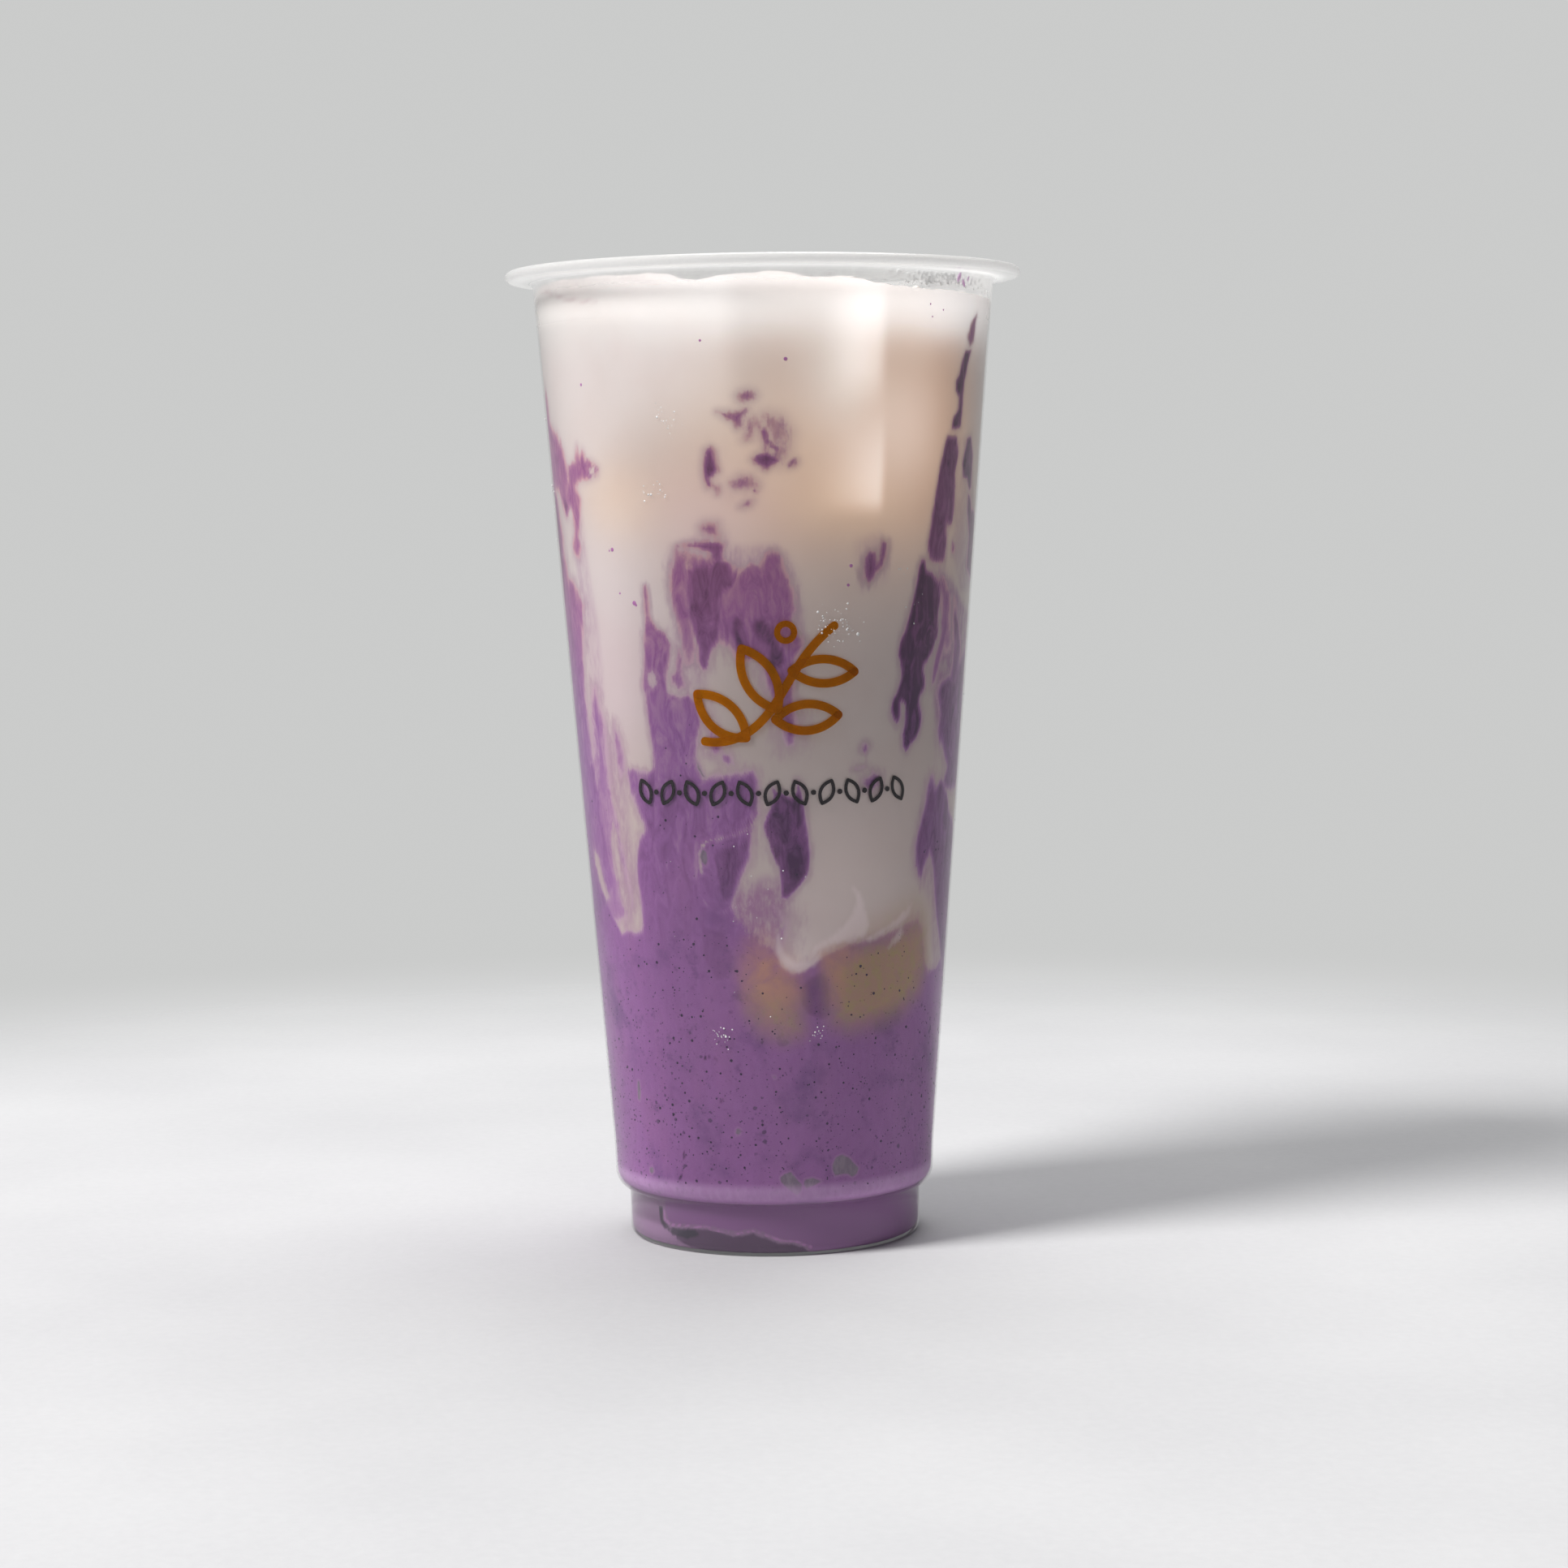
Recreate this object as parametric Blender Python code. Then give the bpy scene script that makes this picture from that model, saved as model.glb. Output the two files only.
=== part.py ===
"""Taro bubble tea: a tall tapered plastic cup with a flat flange rim and a stepped foot, filled with
a purple taro layer under a milk layer, with four ice cubes breaking the surface.

Metres, +Z up. The origin is the centre of the foot on the table, and -Y is the front."""

import math

import bmesh
import bpy
from mathutils import Euler, Matrix, Vector

MM = 0.001

# Cup, in mm
SEGMENTS = 60
HEIGHT = 179.0
WALL = 0.9
RIM_OUTER_R = 47.5
FLANGE_THICK = 1.9
BODY_TOP = (42.42, 176.0)
BODY_FOOT = (30.0, 17.0)
SHOULDER_CENTRE = (27.15, 12.1)
SHOULDER_RADII = (2.65, 3.2)
FOOT_R = 27.15
FOOT_CONTACT_R = 25.8
FOOT_EDGE = 1.3
RECESS_R = 20.0
RECESS_TOP = 1.0
FLOOR_TOP = 2.2

# Contents, in mm
GAP = 0.3
LAYER_GAP = 0.4
MILK_LEVEL = 172.3
INTERFACE_CENTRE = 44.0
INTERFACE_BASE = 50.0
# Each lobe of taro that climbs the wall: angle from the front (degrees, + to the right), height, width
LOBES = (
    (-82.0, 108.0, 15.0),
    (-26.0, 98.0, 21.0),
    (66.0, 104.0, 15.0),
    (112.0, 84.0, 14.0),
    (158.0, 100.0, 18.0),
    (-146.0, 92.0, 16.0),
)
INTERFACE_RINGS = (0.28, 0.5, 0.66, 0.79, 0.9, 1.0)

# Ice cubes: centre x, y, side, top height, rotation (degrees)
CUBES = (
    ("ice_1", -26.8, -8.7, 20.0, 175.4, (2.0, -7.0, 18.0)),
    ("ice_2", 3.4, -20.0, 24.0, 176.0, (6.0, -8.0, 43.0)),
    ("ice_3", 23.6, 7.4, 22.0, 174.6, (-8.0, 10.0, 16.0)),
    ("ice_4", -11.5, 21.5, 22.0, 174.0, (10.0, -6.0, 27.0)),
)
CUBE_ROUNDING = 3.4
CUBE_MELT = 0.5

# Base colours (linear RGB), roughness, transmission
MATERIALS = {
    "clear_plastic": ((0.90, 0.91, 0.91), 0.10, 0.92),
    "taro_purple": ((0.30, 0.13, 0.36), 0.45, 0.0),
    "milk_white": ((0.78, 0.68, 0.60), 0.35, 0.0),
    "ice": ((0.86, 0.88, 0.88), 0.12, 0.85),
}


def clear_scene():
    for obj in list(bpy.data.objects):
        bpy.data.objects.remove(obj, do_unlink=True)


def material(name):
    colour, roughness, transmission = MATERIALS[name]
    mat = bpy.data.materials.new(name)
    mat.use_nodes = True
    shader = mat.node_tree.nodes["Principled BSDF"]
    shader.inputs["Base Color"].default_value = (*colour, 1.0)
    shader.inputs["Roughness"].default_value = roughness
    shader.inputs["Metallic"].default_value = 0.0
    shader.inputs["Transmission Weight"].default_value = transmission
    return mat


def object_from(mesh_builder, name, mat, parent):
    """A named object whose mesh is what is left in mesh_builder."""
    bmesh.ops.recalc_face_normals(mesh_builder, faces=mesh_builder.faces[:])
    mesh = bpy.data.meshes.new(name)
    mesh_builder.to_mesh(mesh)
    mesh_builder.free()
    mesh.materials.append(mat)
    obj = bpy.data.objects.new(name, mesh)
    bpy.context.scene.collection.objects.link(obj)
    obj.parent = parent
    return obj


def arc(centre, radii, start, end, steps):
    """Points of an elliptical arc in the (radius, height) plane, angles in degrees."""
    return [
        (
            centre[0] + radii[0] * math.cos(math.radians(start + (end - start) * i / steps)),
            centre[1] + radii[1] * math.sin(math.radians(start + (end - start) * i / steps)),
        )
        for i in range(steps + 1)
    ]


def body_radius(z):
    """Outer radius of the straight tapered body at height z."""
    share = (z - BODY_FOOT[1]) / (BODY_TOP[1] - BODY_FOOT[1])
    return BODY_FOOT[0] + share * (BODY_TOP[0] - BODY_FOOT[0])


def inner_profile():
    """Inside of the cup from the middle of the floor up to where the straight wall starts."""
    foot_r = FOOT_R - WALL
    corner = arc((foot_r - 2.2, FLOOR_TOP + 2.2), (2.2, 2.2), -90, 0, 4)
    shoulder = arc(
        (SHOULDER_CENTRE[0], SHOULDER_CENTRE[1] + 0.4),
        (SHOULDER_RADII[0] - WALL + 0.02, SHOULDER_RADII[1] - WALL),
        -90,
        0,
        4,
    )
    straight = (body_radius(BODY_FOOT[1]) - WALL, BODY_FOOT[1])
    return [(0.0, FLOOR_TOP), *corner, (foot_r, 9.2), (foot_r + 0.25, 10.0), *shoulder, straight]


def outer_profile():
    """Outside of the cup from under the flange down to the middle of the recessed base."""
    shoulder = arc(SHOULDER_CENTRE, SHOULDER_RADII, 0, -90, 5)
    edge = arc((FOOT_R - FOOT_EDGE, FOOT_EDGE), (FOOT_EDGE, FOOT_EDGE), 0, -90, 3)
    return [
        (BODY_TOP[0] + 0.9, HEIGHT - FLANGE_THICK - 0.1),
        (BODY_TOP[0] + 0.3, HEIGHT - FLANGE_THICK - 0.45),
        BODY_TOP,
        BODY_FOOT,
        *shoulder,
        *edge,
        (RECESS_R + 0.8, 0.0),
        (RECESS_R, RECESS_TOP),
        (0.0, RECESS_TOP),
    ]


def flange_profile():
    """The flange from the inner lip over the rounded outer edge to its underside."""
    half = FLANGE_THICK / 2
    inner_r = body_radius(HEIGHT - 2.4) - WALL
    edge = arc((RIM_OUTER_R - half, HEIGHT - half), (half, half), 90, -90, 6)
    return [(inner_r, HEIGHT - 2.4), (inner_r + 0.25, HEIGHT - 0.9), (inner_r + 1.0, HEIGHT), *edge]


def revolved(name, profile, mat, parent):
    """The open profile spun round the Z axis: both its ends lie on the axis, so the solid is closed."""
    builder = bmesh.new()
    points = [builder.verts.new((r * MM, 0.0, z * MM)) for r, z in profile]
    edges = [builder.edges.new(pair) for pair in zip(points, points[1:])]
    bmesh.ops.spin(
        builder,
        geom=points + edges,
        cent=(0, 0, 0),
        axis=(0, 0, 1),
        angle=2 * math.pi,
        steps=SEGMENTS,
        use_merge=True,
    )
    bmesh.ops.remove_doubles(builder, verts=builder.verts[:], dist=1e-6)
    return object_from(builder, name, mat, parent)


def wall_height(angle):
    """Height at which the taro meets the cup's wall, at an angle from the front in degrees."""
    height = INTERFACE_BASE
    for middle, top, width in LOBES:
        away = (angle - middle + 180.0) % 360.0 - 180.0
        height = max(height, INTERFACE_BASE + (top - INTERFACE_BASE) * math.exp(-((away / width) ** 2)))
    return height + 2.0 * math.sin(math.radians(5 * angle + 40))


def interface_height(angle, share):
    """Height of the boundary between the layers: low in the middle, climbing near the wall."""
    return INTERFACE_CENTRE + (wall_height(angle) - INTERFACE_CENTRE) * share**3.0


def direction(step):
    angle = 360.0 * step / SEGMENTS
    # step 0 lies at +X, and the front is -Y
    return math.cos(math.radians(angle)), math.sin(math.radians(angle)), angle + 90.0


def interface_rings(lift):
    """Rings of points over the boundary, outermost first, each lifted off it by the given gap."""
    rings = []
    for share in reversed(INTERFACE_RINGS):
        ring = []
        for step in range(SEGMENTS):
            x, y, angle = direction(step)
            z = interface_height(angle, share)
            reach = body_radius(z) - WALL - GAP
            radial = 3.0 * (wall_height(angle) - INTERFACE_CENTRE) * share**2.0 / reach
            turn = 360.0 / SEGMENTS
            rise = max(abs(interface_height(angle + side * turn, share) - z) for side in (-1, 1))
            around = rise / (share * reach * math.radians(turn))
            z += lift * math.sqrt(1.0 + radial**2 + around**2)
            r = share * (body_radius(z) - WALL - GAP) if share == 1.0 else share * reach
            ring.append((x * r, y * r, z))
        rings.append(ring)
    return rings


def stacked(name, rings, bottom, top, mat, parent):
    """A closed solid through rings of points, from the point bottom to the point top."""
    builder = bmesh.new()
    rows = [[builder.verts.new(Vector(p) * MM) for p in ring] for ring in rings]
    first = builder.verts.new(Vector(bottom) * MM)
    last = builder.verts.new(Vector(top) * MM)
    count = len(rows[0])
    for i in range(count):
        j = (i + 1) % count
        builder.faces.new((first, rows[0][j], rows[0][i]))
        builder.faces.new((last, rows[-1][i], rows[-1][j]))
        for low, high in zip(rows, rows[1:]):
            builder.faces.new((low[i], low[j], high[j]))
            builder.faces.new((low[i], high[j], high[i]))
    return object_from(builder, name, mat, parent)


def circle(r, z):
    return [(direction(i)[0] * r, direction(i)[1] * r, z) for i in range(SEGMENTS)]


def taro_layer(mat, parent):
    side = [(max(r - GAP, 0.0), z) for r, z in inner_profile()[1:]]
    rings = [circle(r, max(z, FLOOR_TOP + GAP)) for r, z in side]
    rings[0] = circle(side[0][0] - 0.4, FLOOR_TOP + GAP)
    rings += interface_rings(0.0)
    return stacked(
        "taro_layer",
        rings,
        (0, 0, FLOOR_TOP + GAP),
        (0, 0, INTERFACE_CENTRE),
        mat,
        parent,
    )


def milk_layer(mat, parent):
    rings = list(reversed(interface_rings(LAYER_GAP)))
    top_r = body_radius(MILK_LEVEL) - WALL - GAP
    rings += [circle(top_r, MILK_LEVEL), circle(top_r - 1.5, MILK_LEVEL - 0.25), circle(top_r * 0.5, MILK_LEVEL - 0.3)]
    return stacked(
        "milk_layer",
        rings,
        (0, 0, INTERFACE_CENTRE + LAYER_GAP),
        (0, 0, MILK_LEVEL - 0.3),
        mat,
        parent,
    )


def ice_mesh(side, swell):
    """A cube with melted edges and slightly hollowed faces, grown by swell all round."""
    builder = bmesh.new()
    bmesh.ops.create_cube(builder, size=side * MM)
    bmesh.ops.bevel(
        builder,
        geom=builder.edges[:],
        offset=CUBE_ROUNDING * MM,
        segments=3,
        profile=0.55,
        affect="EDGES",
    )
    for vert in builder.verts:
        unit = vert.co / (side * MM / 2)
        melt = math.sin(2.3 * unit.x + 1.1 * unit.z) + math.sin(1.9 * unit.y - 1.4 * unit.x)
        vert.co *= 1.0 + CUBE_MELT * melt / side + 2.0 * swell / side
    return builder


def ice_cube(name, x, y, side, top, turn, mat, parent, cutter=False):
    """An ice cube turned and set so that its highest point lies at the height top."""
    rotation = Euler([math.radians(a) for a in turn]).to_matrix().to_4x4()
    plain = ice_mesh(side, 0.0)
    highest = max((rotation @ vert.co).z for vert in plain.verts)
    plain.free()
    obj = object_from(ice_mesh(side, GAP if cutter else 0.0), name, mat, parent)
    obj.matrix_basis = Matrix.Translation(Vector((x, y, top)) * MM - Vector((0, 0, highest))) @ rotation
    if cutter:
        obj.hide_render = True
        obj.display_type = "WIRE"
    return obj


def main():
    clear_scene()
    origin = bpy.data.objects.new("drink", None)
    bpy.context.scene.collection.objects.link(origin)
    mats = {name: material(name) for name in MATERIALS}

    cup_profile = [*inner_profile(), *flange_profile(), *outer_profile()]
    revolved("cup", cup_profile, mats["clear_plastic"], origin)
    taro_layer(mats["taro_purple"], origin)
    milk = milk_layer(mats["milk_white"], origin)

    for name, x, y, side, top, turn in CUBES:
        ice_cube(name, x, y, side, top, turn, mats["ice"], origin)
        pocket = ice_cube(name + "_pocket", x, y, side, top, turn, mats["ice"], origin, cutter=True)
        cut = milk.modifiers.new("pocket for " + name, "BOOLEAN")
        cut.operation = "DIFFERENCE"
        cut.solver = "EXACT"
        cut.object = pocket


main()
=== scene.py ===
"""Looks for the taro bubble tea: cup, drink with its purple swirls, ice, foam, droplets and the print on the cup. Millimetres in here, metres in the meshes."""

import math

import bpy
import numpy as np
from mathutils import Euler, Matrix, Vector


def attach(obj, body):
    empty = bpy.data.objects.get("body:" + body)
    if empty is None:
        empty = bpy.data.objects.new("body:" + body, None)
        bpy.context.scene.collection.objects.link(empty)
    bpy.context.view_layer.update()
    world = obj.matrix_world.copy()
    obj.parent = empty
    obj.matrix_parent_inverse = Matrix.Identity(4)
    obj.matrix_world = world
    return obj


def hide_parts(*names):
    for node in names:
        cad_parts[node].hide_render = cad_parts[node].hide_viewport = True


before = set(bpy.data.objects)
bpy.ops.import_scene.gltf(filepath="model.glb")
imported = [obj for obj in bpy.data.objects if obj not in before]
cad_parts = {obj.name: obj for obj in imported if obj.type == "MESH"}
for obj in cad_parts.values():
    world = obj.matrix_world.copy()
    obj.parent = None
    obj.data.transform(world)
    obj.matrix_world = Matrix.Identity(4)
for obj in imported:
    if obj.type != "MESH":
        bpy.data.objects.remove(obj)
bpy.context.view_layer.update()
MM = 0.001
RNG = np.random.default_rng(11)

# ---------------------------------------------------------------- sizes, as in part.py
HEIGHT = 179.0
RIM_OUTER_R = 47.5
WALL = 0.9
FLOOR_TOP = 2.2
BODY_TOP = (42.42, 176.0)
BODY_FOOT = (30.0, 17.0)
SLOPE = (BODY_TOP[0] - BODY_FOOT[0]) / (BODY_TOP[1] - BODY_FOOT[1])
LOBES = ((-82, 108, 15), (-26, 98, 21), (66, 104, 15), (112, 84, 14), (158, 100, 18), (-146, 92, 16))
INTERFACE_BASE = 50.0
INTERFACE_CENTRE = 44.0
SURFACE = 172.2
ICE = (
    ("ice_1", -26.8, -8.7, 20.0, 175.4, (2, -7, 18)),
    ("ice_2", 3.4, -20.0, 24.0, 176.0, (6, -8, 43)),
    ("ice_3", 23.6, 7.4, 22.0, 174.6, (-8, 10, 16)),
    ("ice_4", -11.5, 21.5, 22.0, 174.0, (10, -6, 27)),
)
# Where the drink ends on the wall, by the angle from the front, positive to the right.
WALL_TOP = (
    (-180, 173.2), (-140, 173.0), (-120, 173.6), (-100, 174.2), (-90, 174.6), (-79, 175.1), (-72, 175.8), (-62, 176.2),
    (-50, 176.25), (-38, 176.3), (-28, 176.2), (-23, 176.0), (-19.9, 175.3), (-16, 174.8), (-11.7, 175.2), (-7.7, 175.7),
    (0, 176.0), (4, 176.0), (8, 175.5), (11.8, 175.1), (20, 175.1), (24.2, 174.8), (29, 174.2), (33.4, 173.7),
    (44, 173.4), (57.4, 173.3), (67.2, 173.0), (90, 172.9), (130, 172.6), (180, 173.2),
)

# ---------------------------------------------------------------- outlines on the wall
# Each outline is (angle from the front, height in mm) round one patch of colour.
# PURPLE: name, depth of colour, softness of the edge in mm, outline.
PURPLE = (
    ("streak_edge_left", 0.45, 0.9, ((-102.2, 154.6), (-98.1, 157.4), (-80.6, 157.4), (-78.7, 154.4), (-78.8, 151.2), (-70.8, 149.1), (-67.2, 146.1), (-65.4, 142.7), (-65.4, 139.5), (-67.8, 136.6), (-70.1, 134.5), (-71.6, 136.3), (-73.9, 138.7), (-77.1, 139), (-96.6, 136.2), (-96.5, 132.7), (-83.2, 129.5), (-73.8, 126.3), (-72.9, 123), (-68.4, 122.3), (-64.6, 120.4), (-62.5, 118.2), (-64.3, 113), (-65.9, 107.1), (-67, 101.1), (-66.1, 95.2), (-64.5, 89.3), (-63, 83.4), (-61.5, 77.5), (-59, 71.6), (-56.2, 67.3), (-83.9, 55.1), (-108, 54.8), (-107.3, 124.4),)),
    ("edge_core", 0.72, 1.5, ((-98.4, 151.6), (-97.5, 145.6), (-77.9, 138.1), (-75, 130.7), (-78.4, 118.8), (-94.6, 104.7), (-94.2, 94.1), (-95.7, 89.6), (-97, 100.2), (-97.3, 115.3), (-98.1, 130.4), (-99.5, 139.5),)),
    ("inner_left", 0.3, 1.0, ((-61.3, 103.5), (-59.3, 103.1), (-58.3, 99.9), (-55.8, 97), (-55.6, 92.5), (-55.8, 88.1), (-55.3, 82.9), (-52.8, 78.6), (-51.7, 74.2), (-50.3, 69), (-48.8, 64.6), (-52.1, 61.5), (-80.6, 56.8), (-78.9, 64.5), (-72.4, 70.9), (-69, 77.1), (-67.7, 83.2), (-65.1, 89.3), (-63.5, 95.3), (-63.1, 99.7),)),
    ("small_left", 0.22, 0.7, ((-50.7, 97.1), (-49.2, 94.9), (-47.9, 92), (-47.1, 88.6), (-49.7, 87.1), (-50.7, 89.7), (-51.6, 92.9),)),
    ("lobe_left", 0.42, 0.6, ((-65.7, 140.1), (-64.1, 143.2), (-59.7, 144.1), (-58.1, 146.9), (-57.3, 144.8), (-55.3, 145.9), (-54.5, 144.3), (-51.6, 143.9), (-49, 142.7), (-49.6, 141.4), (-53, 140.8), (-58.4, 140.5), (-61.1, 139.5), (-58.4, 137.3), (-59.8, 133.6), (-61.7, 130.7), (-60.8, 128.5), (-62.4, 126.9), (-65.7, 127.2), (-66.3, 128.9), (-63.6, 131.4), (-63.6, 134.8), (-65.4, 136.3), (-69, 133.8), (-71.6, 136.3), (-67.5, 138.8),)),
    ("dark_left", 0.75, 0.7, ((-72.2, 138.4), (-68.6, 137.8), (-66.6, 136.3), (-68.1, 134.1), (-70.5, 135.4),)),
    ("spike", 0.4, 0.35, ((-35.4, 121.7), (-34.5, 122), (-33.8, 120.6), (-33.8, 116.2), (-31.6, 114.2), (-29, 113.4), (-27.7, 111.2), (-28.5, 108.3), (-29.4, 104.7), (-28.2, 102.7), (-25.9, 102.1), (-22.8, 102.4), (-20.5, 100.7), (-19.5, 97.5), (-20.7, 94.6), (-21.4, 91.7), (-19.8, 89.1), (-18.4, 87.7), (-19.9, 81.6), (-39.6, 79.7), (-45.7, 84), (-46.3, 86.6), (-46.7, 88.8), (-43.4, 89), (-38.3, 88.4), (-35.4, 89.4), (-35.9, 92.3), (-36.3, 95.9), (-36.9, 98.5), (-37.1, 101.4), (-38, 103.9), (-36.8, 108.3), (-36.6, 111.9), (-35.5, 116.2),)),
    ("slip_a", 0.35, 0.5, ((-26.5, 124), (-25.3, 126), (-23.7, 127.4), (-21.9, 126.3), (-21.2, 123.1), (-21.3, 118.4), (-20.4, 114.8), (-20.2, 110.5), (-21.4, 108.2), (-22.9, 107.8), (-23.9, 110.5), (-24.4, 113.7), (-26.1, 117.4), (-27, 121.1),)),
    ("slip_b", 0.35, 0.5, ((-25.2, 110.5), (-24.3, 108.8), (-24.8, 106.2), (-23.7, 104), (-25.8, 103.3), (-27.8, 104.4), (-28.2, 105.6), (-26.5, 106.7),)),
    ("pillar_a", 0.66, 0.55, ((-22, 124.7), (-19.2, 125.3), (-16, 125.4), (-14.3, 126.2), (-14.7, 127.5), (-18.1, 128.2), (-21.3, 128.6), (-24.4, 128.6), (-21.9, 129.1), (-18, 129.4), (-12.6, 129.6), (-10.9, 128.9), (-11.6, 127.5), (-11.9, 126.2), (-9.7, 125.8), (-8.7, 124.1), (-8.8, 121.6), (-11, 120.9), (-12.5, 118.8), (-12.2, 115.5), (-13.3, 111.9), (-15, 110.5), (-16, 108.8), (-16.4, 107.1), (-18.1, 106.6), (-19.7, 108.3), (-19.5, 110.5), (-20.7, 113.4), (-21.9, 117), (-22.4, 120.6),)),
    ("core_a", 0.74, 1.6, ((-21, 126), (-17.3, 126.5), (-14.1, 127.1), (-13.3, 124.8), (-14.5, 119.8), (-15.9, 115.5), (-18.1, 113.4), (-19.8, 116.2), (-20.9, 120.5),)),
    ("curl", 0.16, 0.7, ((-24.9, 128), (-21.3, 127.7), (-17.2, 127.1), (-15, 125.9), (-17.6, 125.1), (-22.3, 124.8), (-25.9, 124.9),)),
    ("between", 0.38, 0.8, ((-13.3, 124.8), (-8.6, 124.8), (-6.5, 124), (-7, 110.5), (-10.3, 111.2), (-14, 111.9), (-14, 119.1),)),
    ("mass_b", 0.43, 0.6, ((-10.9, 119.1), (-8.9, 122.5), (-7.1, 124.3), (-4.2, 125.6), (-1.8, 125.1), (-0.3, 127), (1.7, 127.8), (3.8, 126.9), (4.7, 124.7), (6, 122.7), (7.3, 120.4), (7.5, 117.5), (6.4, 114.9), (7.9, 113.9), (9.8, 111.8), (9.1, 109.9), (7.5, 108.6), (7.2, 106), (7.2, 102.5), (7.4, 98.9), (7.9, 96), (7, 93.5), (4.8, 93.3), (3.9, 95.3), (3.9, 97.5), (2.3, 99.6), (0.8, 102.5), (-0.3, 105), (-1.4, 107.6), (-3.6, 108.9), (-5.9, 108.5), (-8.4, 108.5), (-9.7, 110.3), (-11.9, 111.8), (-12.4, 114.8),)),
    ("diamond", 0.92, 1.2, ((-8.7, 117.2), (-6.5, 115.9), (-5.5, 113.3), (-4.4, 111.2), (-6.5, 109.6), (-9.2, 111.1), (-11.1, 113.4), (-10.4, 115.5),)),
    ("dark_b", 0.85, 1.4, ((-4.5, 116.5), (-0.1, 116.6), (2.4, 114.7), (3.7, 111.8), (5.4, 110.4), (6.1, 108.2), (3.6, 106.4), (2.2, 103.2), (4.9, 100.3), (7.7, 97.4), (7.2, 94.8), (5.3, 93.7), (4.2, 96.7), (1.9, 100.4), (-0.3, 104.7), (-1.4, 108.3), (-0.6, 110.4), (-3.5, 111.9), (-5.5, 114),)),
    ("hair_c", 0.45, 0.45, ((68.3, 169.6), (67.5, 167.8), (67, 164.9), (64.5, 163.6), (63, 165.5), (65.1, 168),)),
    ("top_c", 0.85, 0.35, ((65.7, 163.2), (62, 163), (60.5, 161.1), (59.5, 158.9), (57.6, 157.4), (57.9, 155.7), (59.9, 154.6), (59.8, 152.4), (57.5, 150.9), (56.9, 148.9), (62, 149.1), (62.4, 151.7), (62.3, 154.6), (62.7, 157.5), (64.1, 160.4),)),
    ("pillar_c", 0.72, 0.4, ((55.1, 147.7), (60.3, 147.6), (61.9, 144.4), (60.6, 141.5), (61, 137.1), (60.9, 132.8), (59.7, 131.5), (57.3, 132.1), (57.9, 128.4), (57.2, 124.9), (53, 125), (49.9, 125.7), (48.8, 128.5), (49.8, 131.4), (50.5, 135), (51.4, 138.6), (52.4, 142.2), (53.8, 145.8),)),
    ("pillar_edge", 0.85, 0.5, ((70.5, 137.7), (73.5, 136.8), (78, 132.7), (96.4, 127.4), (96.5, 121.3), (96.2, 119.4), (95.8, 124.4), (74.7, 129.7), (71, 134.2),)),
    ("plume_a", 0.52, 0.6, ((54.9, 123), (58.7, 121.7), (62.5, 118.1), (62.2, 114.4), (60.9, 110.8), (58.5, 107.6), (56, 103.8), (54.4, 102.7), (54.2, 106.5), (55.9, 109.4), (58.1, 112.3), (58.9, 116), (57.2, 119.6),)),
    ("plume_b", 0.58, 0.6, ((65, 117.3), (70.4, 113.5), (74.1, 109), (72.1, 104.5), (68.2, 101.7), (65, 103.3), (66.6, 106.9), (66.9, 110.6), (64.6, 114.4),)),
    ("plume_core", 0.78, 0.8, ((56.8, 101.8), (59.8, 103.7), (64.7, 104.5), (72.8, 102.7), (72.8, 98.3), (69.1, 94.2), (66.8, 89.8), (62.4, 92.2), (60.8, 96.7),)),
    ("line_d", 0.6, 0.35, ((61.1, 129.1), (62.9, 128.1), (62.8, 126.3), (61.1, 126.9),)),
    ("foot_c", 0.98, 0.45, ((46.7, 125.9), (48.1, 125.5), (48.7, 123.9), (51.7, 123.1), (55.6, 121.4), (56.5, 118.9), (55.6, 116), (56.3, 112.3), (54.2, 109.5), (52, 107.8), (49.4, 106.4), (50.9, 104.4), (50.8, 102.2), (48.6, 101.1), (48.4, 100), (50.2, 97.8), (49.8, 95.4), (48.1, 93.5), (45.7, 92.4), (44.1, 91.2), (42.3, 92.2), (42, 94.4), (42.8, 96.6), (42.5, 99.8), (40.8, 100.5), (41, 98.1), (40.3, 96.1), (38.6, 97), (37.2, 99), (37.7, 100.8), (39.4, 102.5), (40.7, 104.7), (39.9, 107.2), (38.8, 109.1), (39.5, 111.3), (41.5, 113.4), (42.8, 116.3), (44.1, 119.1), (45.1, 122), (45.5, 124.2),)),
    ("veil_c1", 0.4, 0.9, ((57.2, 119.9), (59.9, 120.5), (62.7, 117.3), (63, 113.7), (64.7, 109.2), (60.9, 108.6), (57.6, 112.3), (57.3, 116.7),)),
    ("veil_c2", 0.22, 0.8, ((64.6, 118.8), (67.8, 116.5), (68.3, 110.6), (65.5, 110.7),)),
    ("veil_c3", 0.66, 0.8, ((58.9, 95.8), (61.7, 97.8), (64.5, 100.3), (67.8, 102.9), (73, 106.8), (82.9, 110.2), (95.8, 109.2), (96.4, 100.2), (95.9, 91.1), (94.8, 85), (93.8, 82.8), (79.4, 82.7), (66.6, 83.6), (64.9, 84.7), (67.5, 87.6), (63.3, 90.7), (59.5, 93.1),)),
    ("edge_c1", 0.92, 0.45, ((66.9, 147.4), (70.1, 147.9), (73, 144.5), (73.7, 138.6), (71.3, 137.7), (69, 140.1), (65.7, 140.1), (64.4, 143), (66.1, 145.5),)),
    ("edge_c2", 0.8, 0.5, ((72.4, 134.9), (96.4, 133.4), (96.5, 127.4), (96.8, 124.4), (96.4, 118.3), (95.4, 117.6), (74.4, 123.8), (74.7, 129.7),)),
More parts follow.
